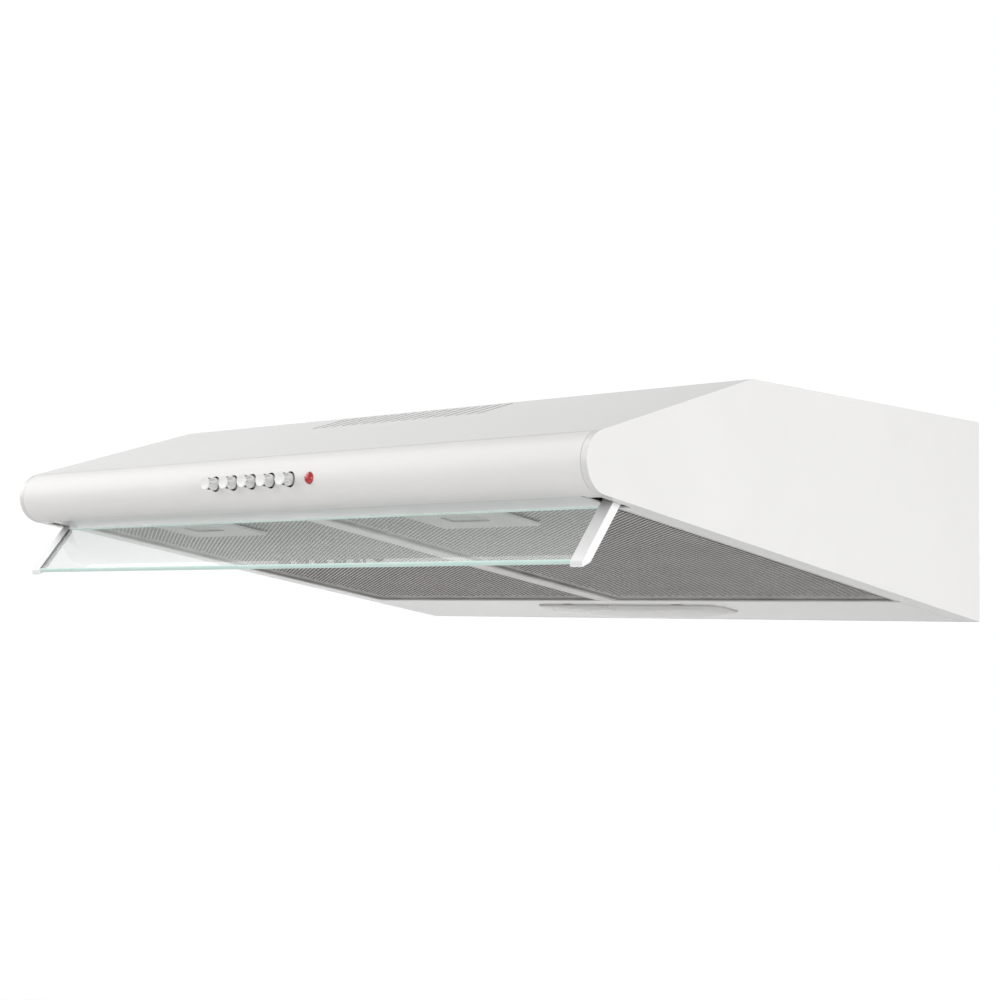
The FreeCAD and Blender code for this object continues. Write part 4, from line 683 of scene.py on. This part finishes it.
# Push buttons: a thin white cap on a bright barrel, both turned about the button's axis. The barrel widens a
# hair from ring to ring, and above and below it carries painted shade: a near-black finish inside a wedge
# whose half angle shrinks evenly from the cap to the wedge's tip.
button = {
    "cap": [(0.3, 0.6), (0.25, 2.6), (0.05, 4.0), (0.0, 4.3), (0.1, 4.6), (0.3, 4.75), (0.6, 4.8), (1.0, 4.8),
            (1.2, 4.65), (1.25, 3.4)],
    "body": [(1.05, 3.3)] + [(1.1 + 0.5 * i, 4.2 + 0.02 * i) for i in range(16)] + [
        (9.3, 4.55), (16.4, 4.55), (16.5, 4.45), (16.5, 2.5), (40.2, 2.5), (40.5, 2.2)],
    "sides": 56, "wedge": 55.0, "wedgeRings": 11,
}


def pushButton(name):
    low, high = box(name)
    start = ((low[0] + high[0]) / 2, low[1], (low[2] + high[2]) / 2)
    cap = turned(np.array(button["cap"]) * mm, start, (0, 1, 0), button["sides"])
    body = turned(np.array(button["body"]) * mm, start, (0, 1, 0), button["sides"])
    sides = body["points"][body["quads"]].mean(1) - start
    lean = np.degrees(np.arctan2(np.abs(sides[:, 0]), np.abs(sides[:, 2])))
    ring = np.arange(len(sides)) // button["sides"]
    # faces inside the wedge wear the painted shade
    body["finish"][: len(sides)] = lean < button["wedge"] * (1 - ring / button["wedgeRings"])
    coats = ("button_chrome", "buttonWaist")
    makePiece(f"{name}.body", [body], name, "button_chrome", [name], sharp=40, coats=coats)
    makePiece(f"{name}.cap", [cap], name, "button_chrome", sharp=40, coats=("buttonCap",))


for name in [node for node in frame["nodes"] if node.startswith("button_")]:
    pushButton(name)
print("buttons turned")

indicator = {"radius": 4.0 * mm, "proud": 2.5 * mm, "collar": 6.0 * mm, "neck": 3.2 * mm}


# A quarter of an ellipse turned into a dome, then a straight collar and a narrower light pipe.
def indicatorDome():
    low, high = box("indicator_lens")
    lift = np.linspace(0.06, math.pi / 2, 14)
    dome = np.stack([indicator["proud"] * (1 - np.cos(lift)), indicator["radius"] * np.sin(lift)], -1)
    collarEnd, neck = indicator["proud"] + indicator["collar"], indicator["neck"]
    rest = [(collarEnd, indicator["radius"]), (collarEnd, neck), (high[1] - low[1], neck)]
    start = ((low[0] + high[0]) / 2, low[1], (low[2] + high[2]) / 2)
    made = turned(np.concatenate([dome, rest]), start, (0, 1, 0), 48)
    makePiece("indicatorDome", [made], "housing", "red_lens", ["indicator_lens"])


indicatorDome()


# Springs: real coils where the frame has plain sleeves
coil = {"wire": 0.3 * mm, "turns": 5.5}


def fitCoil(name, node, body):
    if node.startswith("latch"):
        low, high = slopeBox(node)
        middle = (low + high) / 2
        start = onSlope((middle[0], low[1], middle[2]))
        axis = onSlope((0, 1, 0))
        length, radius, anchor = high[1] - low[1], (high[0] - low[0]) / 2, start
    else:
        low, high = box(node)
        start = np.array([(low[0] + high[0]) / 2, low[1], (low[2] + high[2]) / 2])
        axis = np.array([0.0, 1.0, 0.0])
        length, radius = high[1] - low[1], (high[0] - low[0]) / 2
        anchor = start + axis * length
    made = coilSpring(start, axis, length, radius - coil["wire"], coil["wire"], coil["turns"])
    piece = makePiece(name, [made], body, "spring_steel", [node])
    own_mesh(piece)


for joint in joints.values():
    if joint["name"].endswith("_press"):
        node = joint["child"].replace("button", "spring")
        fitCoil(f"{node}.coil", node, "housing")
    if joint["name"].endswith("_slide"):
        side = joint["child"].split("_")[1]
        node = f"latch_spring_{side}"
        fitCoil(f"latchSpring.{side}", node, joint["parent"])
print("springs wound")


# Diffuser outline: straight front edge with round corners, straight sides, and an arched back that is one
# arc through both shoulders and the back's middle. Its face bulges as 1 - (share of the way out) cubed.
diffuser = {
    "front": 74.2 * mm, "shoulder": 45.0 * mm, "corner": 12.0 * mm, "edgeRound": 1.3 * mm, "wall": 1.6 * mm,
    "bulge": 0.9 * mm, "panelRoom": 0.9 * mm, "innerRim": 0.4 * mm, "leastCorner": 1.0 * mm,
    "tabX": 60.0 * mm, "tabHalf": 6.0 * mm, "tabRadius": 1.1 * mm, "tabLow": -0.1 * mm, "tabThin": 0.1 * mm,
}


def lensLoop(half, back, inset):
    front, corner = diffuser["front"] - inset, max(diffuser["corner"] - inset, diffuser["leastCorner"])
    half, back, shoulder = half - inset, back + inset, diffuser["shoulder"]
    q = np.linspace(0, math.pi / 2, 12)
    right = np.stack([half - corner + corner * np.cos(q), front - corner + corner * np.sin(q)], -1)
    left = right[::-1] * [-1, 1]
    rise = shoulder - back
    radius = (half * half + rise * rise) / (2 * rise)
    spread = math.asin(half / radius)
    a = np.linspace(-spread, spread, 60)
    arch = np.stack([radius * np.sin(a), back + radius * (1 - np.cos(a))], -1)
    edge = np.linspace(0.02, 0.98, 40)[:, None]
    straight = right[-1] * (1 - edge) + left[0] * edge
    return np.concatenate([right, straight, left, arch])


# One closed skin: the inner face grows from its middle to the rim, and the outer face shrinks back from it.
def lampDiffuser():
    low, high = slopeBox("lamp_lens")
    half, back, face = high[0], low[1], low[2] + diffuser["bulge"]
    top = slopeBox("rear_bottom_panel")[0][2] + diffuser["panelRoom"]
    wall, edge = diffuser["wall"], diffuser["edgeRound"]

    def level(inset, n):
        return atHeight(lensLoop(half, back, inset), n)

    outer = [level(0, top)]
    for q in np.linspace(0, math.pi / 2, 5):
        outer.append(level(edge * (1 - math.cos(q)), face + edge * (1 - math.sin(q))))
    rim = outer[-1][:, :2]
    middle = rim.mean(0)

    def drawnIn(share, n):  # the rim shrunk to a share of its size, on the bulged face
        return atHeight((rim - middle) * share + middle, n - diffuser["bulge"] * (1 - share ** 3))

    shares = np.linspace(0.02, 0.98, 16)
    inner = [drawnIn(share, face + wall) for share in shares]
    inner += [level(wall, face + wall + diffuser["innerRim"]), level(wall, top)]
    outer += [drawnIn(share, face) for share in shares[::-1]]
    made = [ringShell(onSlope(np.array(inner + outer)))]

    radius, front, reach = diffuser["tabRadius"], diffuser["front"], diffuser["tabHalf"]
    hingeS, hingeN = high[1] - radius, high[2] - radius
    behind, tabTop, tabUnder = front - wall, hingeN + radius, hingeN - radius + diffuser["tabThin"]
    for middleX in (-diffuser["tabX"], diffuser["tabX"]):
        x0, x1 = middleX - reach, middleX + reach
        made.append(block((x0, behind, tabUnder), (x1, hingeS, tabTop), onSlope))
        made.append(block((x0, behind, diffuser["tabLow"]), (x1, front, tabTop), onSlope))
        made.append(turned([(0, radius), (x1 - x0, radius)], onSlope((x0, hingeS, hingeN)), (1, 0, 0), 24))
    piece = makePiece(
        "lampDiffuser", made, "lamp_cover", "diffuser_white", ["lamp_lens"],
        sharp=40,
    )
    evenShading(piece)


lampDiffuser()

# Candle lamp, in millimetres from its tip: a thin glass envelope, a screw cap whose radius swells as
# cos(2 pi along / pitch - angle), and a wire filament on two posts that spread towards the cap.
bulb = {
    "envelope": [(0.3, 0.8), (1.5, 2.8), (4.0, 5.2), (9.0, 8.4), (16, 11.0), (25, 12.7), (34, 13.0),
                 (43, 11.9), (50, 10.2), (56, 8.2), (60, 7.1), (62, 6.6)],
    "wall": 0.6, "leastInner": 0.3, "capFrom": 60.0, "capTo": 86.0, "capRadius": 6.55, "thread": 0.35,
    "threadPitch": 2.6, "coilFrom": 24, "coilLength": 16, "coilRadius": 1.0, "wire": 0.12, "coilTurns": 22,
    "posts": ((24.2, 1.0), (39.8, -1.0)), "postRadius": 0.25, "postEnd": 61, "postSpread": 1.8,
    "stemFrom": 47, "stem": ((0, 1.2), (2, 1.8), (14, 3.0)),
}


def lampBulb():
    low, high = slopeBox("lamp_bulb")
    middle = (low + high) / 2

    def spot(along, lift=0.0):  # a place on the lamp's axis, or lifted off it
        return onSlope((low[0] + along * mm, middle[1], middle[2] + lift * mm))

    profile = np.array(bulb["envelope"])
    steps = np.linspace(0, len(profile) - 1, 40)
    smooth = np.stack([np.interp(steps, np.arange(len(profile)), profile[:, i]) for i in (0, 1)], -1)
    smooth[1:-1] = (smooth[:-2] + smooth[1:-1] * 2 + smooth[2:]) / 4
    inner = smooth[::-1] - [0, bulb["wall"]]
    inner[:, 1] = np.maximum(inner[:, 1], bulb["leastInner"])
    inner[-1, 0] = smooth[0, 0] + bulb["wall"]
    glass = turned(np.concatenate([smooth, inner]) * mm, spot(0), (1, 0, 0), 48, looped=True)
    makePiece("bulbGlass", [glass], "housing", "bulb_glass", ["lamp_bulb"])
    along = np.linspace(bulb["capFrom"], bulb["capTo"], 90)
    t = np.linspace(0, 2 * math.pi, 40, endpoint=False)
    wave = np.cos(2 * math.pi * along[:, None] / bulb["threadPitch"] - t[None])
    radius = (bulb["capRadius"] - bulb["thread"] + bulb["thread"] * wave) * mm
    x = (low[0] + along[:, None] * mm) + np.zeros_like(radius)
    rings = np.stack([x, middle[1] + radius * np.cos(t), middle[2] + radius * np.sin(t)], -1)
    makePiece("bulbCap", [ringShell(onSlope(rings))], "housing", "bulb_glass", coats=("brass",))
    length, radius, wire = (bulb[key] * mm for key in ("coilLength", "coilRadius", "wire"))
    made = [coilSpring(spot(bulb["coilFrom"]), (1, 0, 0), length, radius, wire, bulb["coilTurns"], 10, 6)]
    for along, lift in bulb["posts"]:
        foot, end = spot(along, lift), spot(bulb["postEnd"], lift * bulb["postSpread"])
        reach, thick = float(np.linalg.norm(end - foot)), bulb["postRadius"] * mm
        made.append(turned([(0, thick), (reach, thick)], foot, end - foot, 10))
    stem = turned(np.array(bulb["stem"]) * mm, spot(bulb["stemFrom"]), (1, 0, 0), 24)
    makePiece("bulbFilament", made, "housing", "bulb_glass", coats=("filament",))
    makePiece("bulbStem", [stem], "housing", "bulb_glass")


lampBulb()
print("lamp made")


# Flush countersunk heads: a flat disc sunk inside a cross whose arms are as wide as the slot, a cone down to
# the shank, and a thread whose radius swells as cos(2 pi z / pitch - angle).
screw = {
    "slot": 0.35 * mm, "reach": 1.6 * mm, "deep": 0.7 * mm, "shank": 1.5 * mm, "head": 0.8 * mm,
    "pitch": 0.7 * mm, "thread": 0.12 * mm, "tipGap": 0.05 * mm, "apart": 20.0 * mm,
}


def coverScrews():
    points = nodePoints("cover_screws")
    points = points[np.argsort(points[:, 0])]
    top, under = points[:, 2].max(), points[:, 2].min()
    t = np.linspace(0, 2 * math.pi, 72, endpoint=False)
    made = []
    for group in np.split(points, np.flatnonzero(np.diff(points[:, 0]) > screw["apart"]) + 1):
        middle = (group.min(0) + group.max(0)) / 2
        radius = (group.max(0) - group.min(0))[0] / 2
        r = np.concatenate([[0.02], np.linspace(0.06, 1, 30)])[:, None] * radius
        x, y = r * np.cos(t), r * np.sin(t)
        nearArm = np.minimum(np.abs(x), np.abs(y)) < screw["slot"]
        cross = nearArm & (np.maximum(np.abs(x), np.abs(y)) < screw["reach"])
        head = np.stack([middle[0] + x, middle[1] + y, top - np.where(cross, screw["deep"], 0)], -1)
        z = np.linspace(top - screw["head"], under + screw["tipGap"], 70)[:, None]
        swell = screw["thread"] * (np.cos(2 * math.pi * z / screw["pitch"] - t) - 1)
        swell[0] = 0
        shank = screw["shank"] + swell
        shank = np.stack([middle[0] + shank * np.cos(t), middle[1] + shank * np.sin(t), z + 0 * shank], -1)
        made.append(ringShell(np.concatenate([head, shank])))
    makePiece(
        "coverScrews", made, "housing", "zinc_steel", ["cover_screws"], sharp=30,
    )


coverScrews()

# Cable gland: rings of one radius or many, from the bore's foot round to its top. The crown's radius swells
# with fine ribs, and the nut's is its half width over the cosine of the angle to the nearest flat's middle.
gland = {
    "thread": 7.5 * mm, "lead": 0.4 * mm, "leadHigh": 0.6 * mm, "nutFrom": 1.0 * mm, "nutTo": 6.0 * mm,
    "nutHalf": 9.5 * mm, "ribs": 24, "rib": 0.25 * mm, "ribsFrom": 0.5 * mm, "ribsTo": 3.0 * mm,
    "crown": ((1.4 * mm, 6.9 * mm), (0.4 * mm, 6.3 * mm), (0.0, 5.7 * mm)),
}


def cableGland():
    low, high = box("cable_gland")
    sheetTop = box("top_cover")[1][2]
    middle = (low + high) / 2
    inlet = next(mount for mount in frame["record"]["mounts"] if mount["name"] == "cable_inlet")
    bore, thread = inlet["dims"]["r_mm"] * mm, gland["thread"]
    t = np.linspace(0, 2 * math.pi, 96, endpoint=False)
    ribbed = thread - gland["rib"] * (0.5 + 0.5 * np.cos(gland["ribs"] * t))
    hexagon = gland["nutHalf"] / np.cos((t + math.pi / 6) % (math.pi / 3) - math.pi / 6)
    nutTop, nutLow = sheetTop - gland["nutFrom"], sheetTop - gland["nutTo"]
    layers = [(low[2], bore), (low[2], thread - gland["lead"]), (low[2] + gland["leadHigh"], thread)]
    layers += [(nutLow, thread), (nutLow, hexagon), (nutTop, hexagon), (nutTop, thread), (sheetTop, thread)]
    layers += [(sheetTop + gland["ribsFrom"], ribbed), (high[2] - gland["ribsTo"], ribbed)]
    layers += [(high[2] - down, radius) for down, radius in gland["crown"]]
    layers.append((high[2], bore))
    rings = []
    for z, radius in layers:
        x, y = middle[0] + radius * np.cos(t), middle[1] + radius * np.sin(t)
        rings.append(np.stack([x, y, np.full_like(t, z)], -1))
    makePiece(
        "cableGland", [ringShell(np.array(rings), looped=True)], "housing", "black_plastic", ["cable_gland"],
        sharp=30,
    )


cableGland()

# Fan wheel: each blade runs outwards at the radius r and the angle (its sweep + its skin) / r, where the
# sweep is a lean plus a parabola. The blades stand between a ring and a disc with a boss, both turned.
wheel = {
    "blades": 32, "depth": 15.0 * mm, "lean": 34.0, "curve": 2.6 * mm, "skin": 1.0 * mm, "bladeGap": 0.4 * mm,
    "bladeLow": 1.0 * mm, "bladeIn": 0.5 * mm, "disc": 1.5 * mm, "discDown": 6.0 * mm, "discStep": 22.0 * mm,
    "ring": 2.0 * mm, "boss": 9.0 * mm, "bossDown": 4.0 * mm, "bossTaper": 0.5 * mm, "shaft": 4.1 * mm,
}


def fanWheel():
    low, high = box("fan_wheel")
    axisX, axisY = joints["fan_spin"]["pos_m"][:2]
    radius = (high[0] - low[0]) / 2
    discLow = high[2] - wheel["discDown"]
    inner = radius - wheel["depth"]
    share = np.linspace(0, 1, 9)
    along = inner + wheel["bladeGap"] + share * (wheel["depth"] - 2 * wheel["bladeGap"])
    lean = math.radians(wheel["lean"])
    sweep = (share - 0.5) * wheel["depth"] * math.tan(lean) + wheel["curve"] * (4 * share * (1 - share))
    made = []
    for i in range(wheel["blades"]):
        turn = 2 * math.pi * i / wheel["blades"]
        plan = []
        for offset in (0, wheel["skin"]):
            angle = turn + (sweep + offset) / along
            plan.append(np.stack([axisX + along * np.cos(angle), axisY + along * np.sin(angle)], -1))
        loop = np.concatenate([plan[0], plan[1][::-1]])
        ends = (low[2] + wheel["bladeLow"], discLow + wheel["bladeIn"])
        made.append(ringShell(np.array([atHeight(loop, z) for z in ends])))
    discTop, bossLow = discLow + wheel["disc"], discLow - wheel["bossDown"]
    boss, shaft = wheel["boss"], wheel["shaft"]
    profile = [(bossLow, shaft), (bossLow, boss), (discLow, boss), (discLow, wheel["discStep"])]
    profile += [(discLow, radius), (discTop, radius), (discTop, wheel["discStep"]), (discTop, boss)]
    profile += [(high[2], boss - wheel["bossTaper"]), (high[2], shaft)]
    made.append(turned(profile, (axisX, axisY, 0), (0, 0, 1), 96, looped=True))
    ringTop = low[2] + wheel["ring"]
    profile = [(low[2], inner), (low[2], radius), (ringTop, radius), (ringTop, inner)]
    made.append(turned(profile, (axisX, axisY, 0), (0, 0, 1), 96, looped=True))
    makePiece("fanWheel", made, "fan", "black_plastic", ["fan_wheel"], sharp=30)


fanWheel()

# Carbon cassette: a turned plastic rim, a hub and spokes over a bed of fleece whose face ripples as
# sin(2 pi r / pitch) cos(lobes x angle).
cassette = {
    "spokes": 8, "spokeHalf": 1.3 * mm, "spokeLow": 0.3 * mm, "spokeHigh": 2.2 * mm, "lap": 1.0 * mm,
    "rim": 5.0 * mm, "rimSkin": 1.4 * mm, "rimHigh": 2.4 * mm,
    "rimRound": ((3.0 * mm, 0.0), (1.0 * mm, 0.6 * mm), (0.0, 2.0 * mm)),
    "hub": 18.0 * mm, "hubHole": 3.0 * mm, "hubRound": 0.8 * mm, "hubHigh": 3.0 * mm,
    "fleeceGap": 1.6 * mm, "rise": 2.1 * mm, "ripple": 0.4 * mm, "ripplePitch": 3.0 * mm,
    "rippleLobes": 24, "topGap": 1.0 * mm,
}


def carbonCassette():
    low, high = box("charcoal_filter")
    middle = (low + high) / 2
    outer = (high[0] - low[0]) / 2
    t = np.linspace(0, 2 * math.pi, 192, endpoint=False)
    r = np.linspace(2 * mm, outer - cassette["fleeceGap"], 60)
    r = np.concatenate([[0.5 * mm], r])[:, None]
    ripple = np.sin(2 * math.pi * r / cassette["ripplePitch"]) * np.cos(cassette["rippleLobes"] * t[None])
    face = low[2] + cassette["rise"] + cassette["ripple"] * ripple
    rings = np.stack([middle[0] + r * np.cos(t), middle[1] + r * np.sin(t), face], -1)
    topRing = rings[-1:].copy()
    topRing[..., 2] = high[2] - cassette["topGap"]
    makePiece(
        "carbonFleece", [ringShell(np.concatenate([rings, topRing]))], "housing", "charcoal_black",
        ["charcoal_filter"],
    )
    centre, up = (middle[0], middle[1], 0), (0, 0, 1)
    bedEdge, skin, hub = outer - cassette["rim"], outer - cassette["rimSkin"], cassette["hub"]
    profile = [(low[2] + lift, outer - inset) for lift, inset in cassette["rimRound"]]
    rimTop = low[2] + cassette["rimHigh"]
    profile += [(low[2], bedEdge), (rimTop, bedEdge), (rimTop, skin), (high[2], skin), (high[2], outer)]
    made = [turned(profile, centre, up, 128, looped=True)]
    profile = [(low[2], cassette["hubHole"]), (low[2], hub - cassette["lap"])]
    profile += [(low[2] + cassette["hubRound"], hub), (low[2] + cassette["hubHigh"], hub)]
    made.append(turned(profile, centre, up, 64))
    half = cassette["spokeHalf"]
    spokeLow = (hub - cassette["lap"], -half, low[2] + cassette["spokeLow"])
    spokeHigh = (bedEdge + cassette["lap"], half, low[2] + cassette["spokeHigh"])
    for i in range(cassette["spokes"]):
        turn = 2 * math.pi * i / cassette["spokes"]
        c, k = math.cos(turn), math.sin(turn)

        def spun(points):  # turned about the hub by this spoke's angle
            x, y = points[..., 0], points[..., 1]
            return np.stack([middle[0] + x * c - y * k, middle[1] + x * k + y * c, points[..., 2]], -1)

        made.append(block(spokeLow, spokeHigh, spun))
    makePiece("carbonCassette", made, "housing", "charcoal_black", sharp=30, coats=("black_plastic",))


carbonCassette()
print("fasteners, gland, fan and carbon filter made")


# The studio: a pale floor well below the hood, a white surrounding, soft light panels and the camera.
stageSet = {"floorZ": -1.5, "floorHalf": 9.0, "floorTone": (0.90, 0.90, 0.90), "floorRough": 0.8}


def paleFloor():
    half, z = stageSet["floorHalf"], stageSet["floorZ"]
    mesh = bpy.data.meshes.new("floor")
    corners = [(-half, -half, z), (half, -half, z), (half, half, z), (-half, half, z)]
    mesh.from_pydata(corners, [], [(0, 1, 2, 3)])
    floor = bpy.data.objects.new("floor", mesh)
    bpy.context.scene.collection.objects.link(floor)
    material = bpy.data.materials.new("floorPaint")
    material.use_nodes = True
    shader = material.node_tree.nodes["Principled BSDF"]
    shader.inputs["Base Color"].default_value = (*stageSet["floorTone"], 1)
    shader.inputs["Roughness"].default_value = stageSet["floorRough"]
    mesh.materials.append(material)


# The surroundings are white up to just over the eye's view, darker overhead, and darker again in front.
sky = {
    "white": 1.02, "overhead": 0.57, "from": 0.342, "to": 0.365,
    "front": 0.79, "frontFrom": -0.35, "frontTo": 0.15,
}


def paleWorld():
    world = bpy.data.worlds.new("studio")
    bpy.context.scene.world = world
    world.use_nodes = True
    tree = world.node_tree
    place = addNode(tree, "ShaderNodeTexCoord")
    split = addNode(tree, "ShaderNodeSeparateXYZ")
    high = addNode(tree, "ShaderNodeMapRange", {
        "From Min": sky["from"], "From Max": sky["to"], "To Min": sky["white"], "To Max": sky["overhead"]})
    ahead = addNode(tree, "ShaderNodeMapRange", {
        "From Min": sky["frontFrom"], "From Max": sky["frontTo"], "To Min": sky["front"], "To Max": 1.0})
    strength = addNode(tree, "ShaderNodeMath", operation="MULTIPLY")
    tree.links.new(place.outputs["Generated"], split.inputs["Vector"])
    tree.links.new(split.outputs["Z"], high.inputs["Value"])
    tree.links.new(split.outputs["Y"], ahead.inputs["Value"])
    tree.links.new(high.outputs["Result"], strength.inputs[0])
    tree.links.new(ahead.outputs["Result"], strength.inputs[1])
    tree.links.new(strength.outputs["Value"], tree.nodes["Background"].inputs["Strength"])
    tree.nodes["Background"].inputs["Color"].default_value = (1, 1, 1, 1)


lights = {
    "keyRight": {"place": (2.7, -0.9, 0.15), "aim": (0.1, -0.2, 0.05), "size": 1.6, "power": 34},
    "fillFront": {"place": (-1.5, -1.6, 1.3), "aim": (-0.1, -0.4, 0.1), "size": 2.2, "power": 28},
    "fillLeft": {"place": (-1.95, -0.78, 1.62), "aim": (-0.05, -0.45, 0.05), "size": 1.8, "power": 6},
    "floorWash": {"place": (-5.78, 6.08, 1.2), "aim": (-6.78, 7.17, -1.5), "size": 8.0, "power": 135,
                  "spread": 40},
}


def softLight(name, place, aim, size, power, spread=180):  # a square light panel turned to face its aim
    data = bpy.data.lights.new(name, "AREA")
    data.shape = "SQUARE"
    data.size = size
    data.energy = power
    data.spread = math.radians(spread)
    lamp = bpy.data.objects.new(name, data)
    bpy.context.scene.collection.objects.link(lamp)
    lamp.location = place
    lamp.visible_camera = False
    lamp.visible_transmission = False  # the glass shows no bright panels
    lamp.rotation_euler = (Vector(aim) - Vector(place)).to_track_quat("-Z", "Y").to_euler()


# Camera: level heading, tilt and roll in degrees. Forward is (-sin a cos t, cos a cos t, sin t), right is
# level before it is rolled, and up is square to both.
eye = {
    "place": (0.96698, -1.28731, -0.00482), "heading": 42.486, "tilt": 3.895, "roll": 0.790, "lens": 64.275,
}


def aimCamera():
    a, t, r = (math.radians(eye[key]) for key in ("heading", "tilt", "roll"))
    forward = Vector((-math.sin(a) * math.cos(t), math.cos(a) * math.cos(t), math.sin(t)))
    level = Vector((math.cos(a), math.sin(a), 0))
    upright = level.cross(forward)
    right = level * math.cos(r) + upright * math.sin(r)
    up = upright * math.cos(r) - level * math.sin(r)
    data = bpy.data.cameras.new("eye")
    data.lens = eye["lens"]
    data.clip_start = 0.02
    camera = bpy.data.objects.new("eye", data)
    bpy.context.scene.collection.objects.link(camera)
    turn = Matrix((right, up, -forward)).transposed().to_4x4()
    camera.matrix_world = Matrix.Translation(eye["place"]) @ turn
    bpy.context.scene.camera = camera


paleFloor()
paleWorld()
for name, light in lights.items():
    softLight(name, **light)
bpy.context.scene.view_settings.view_transform = "Standard"
aimCamera()
print("studio set")
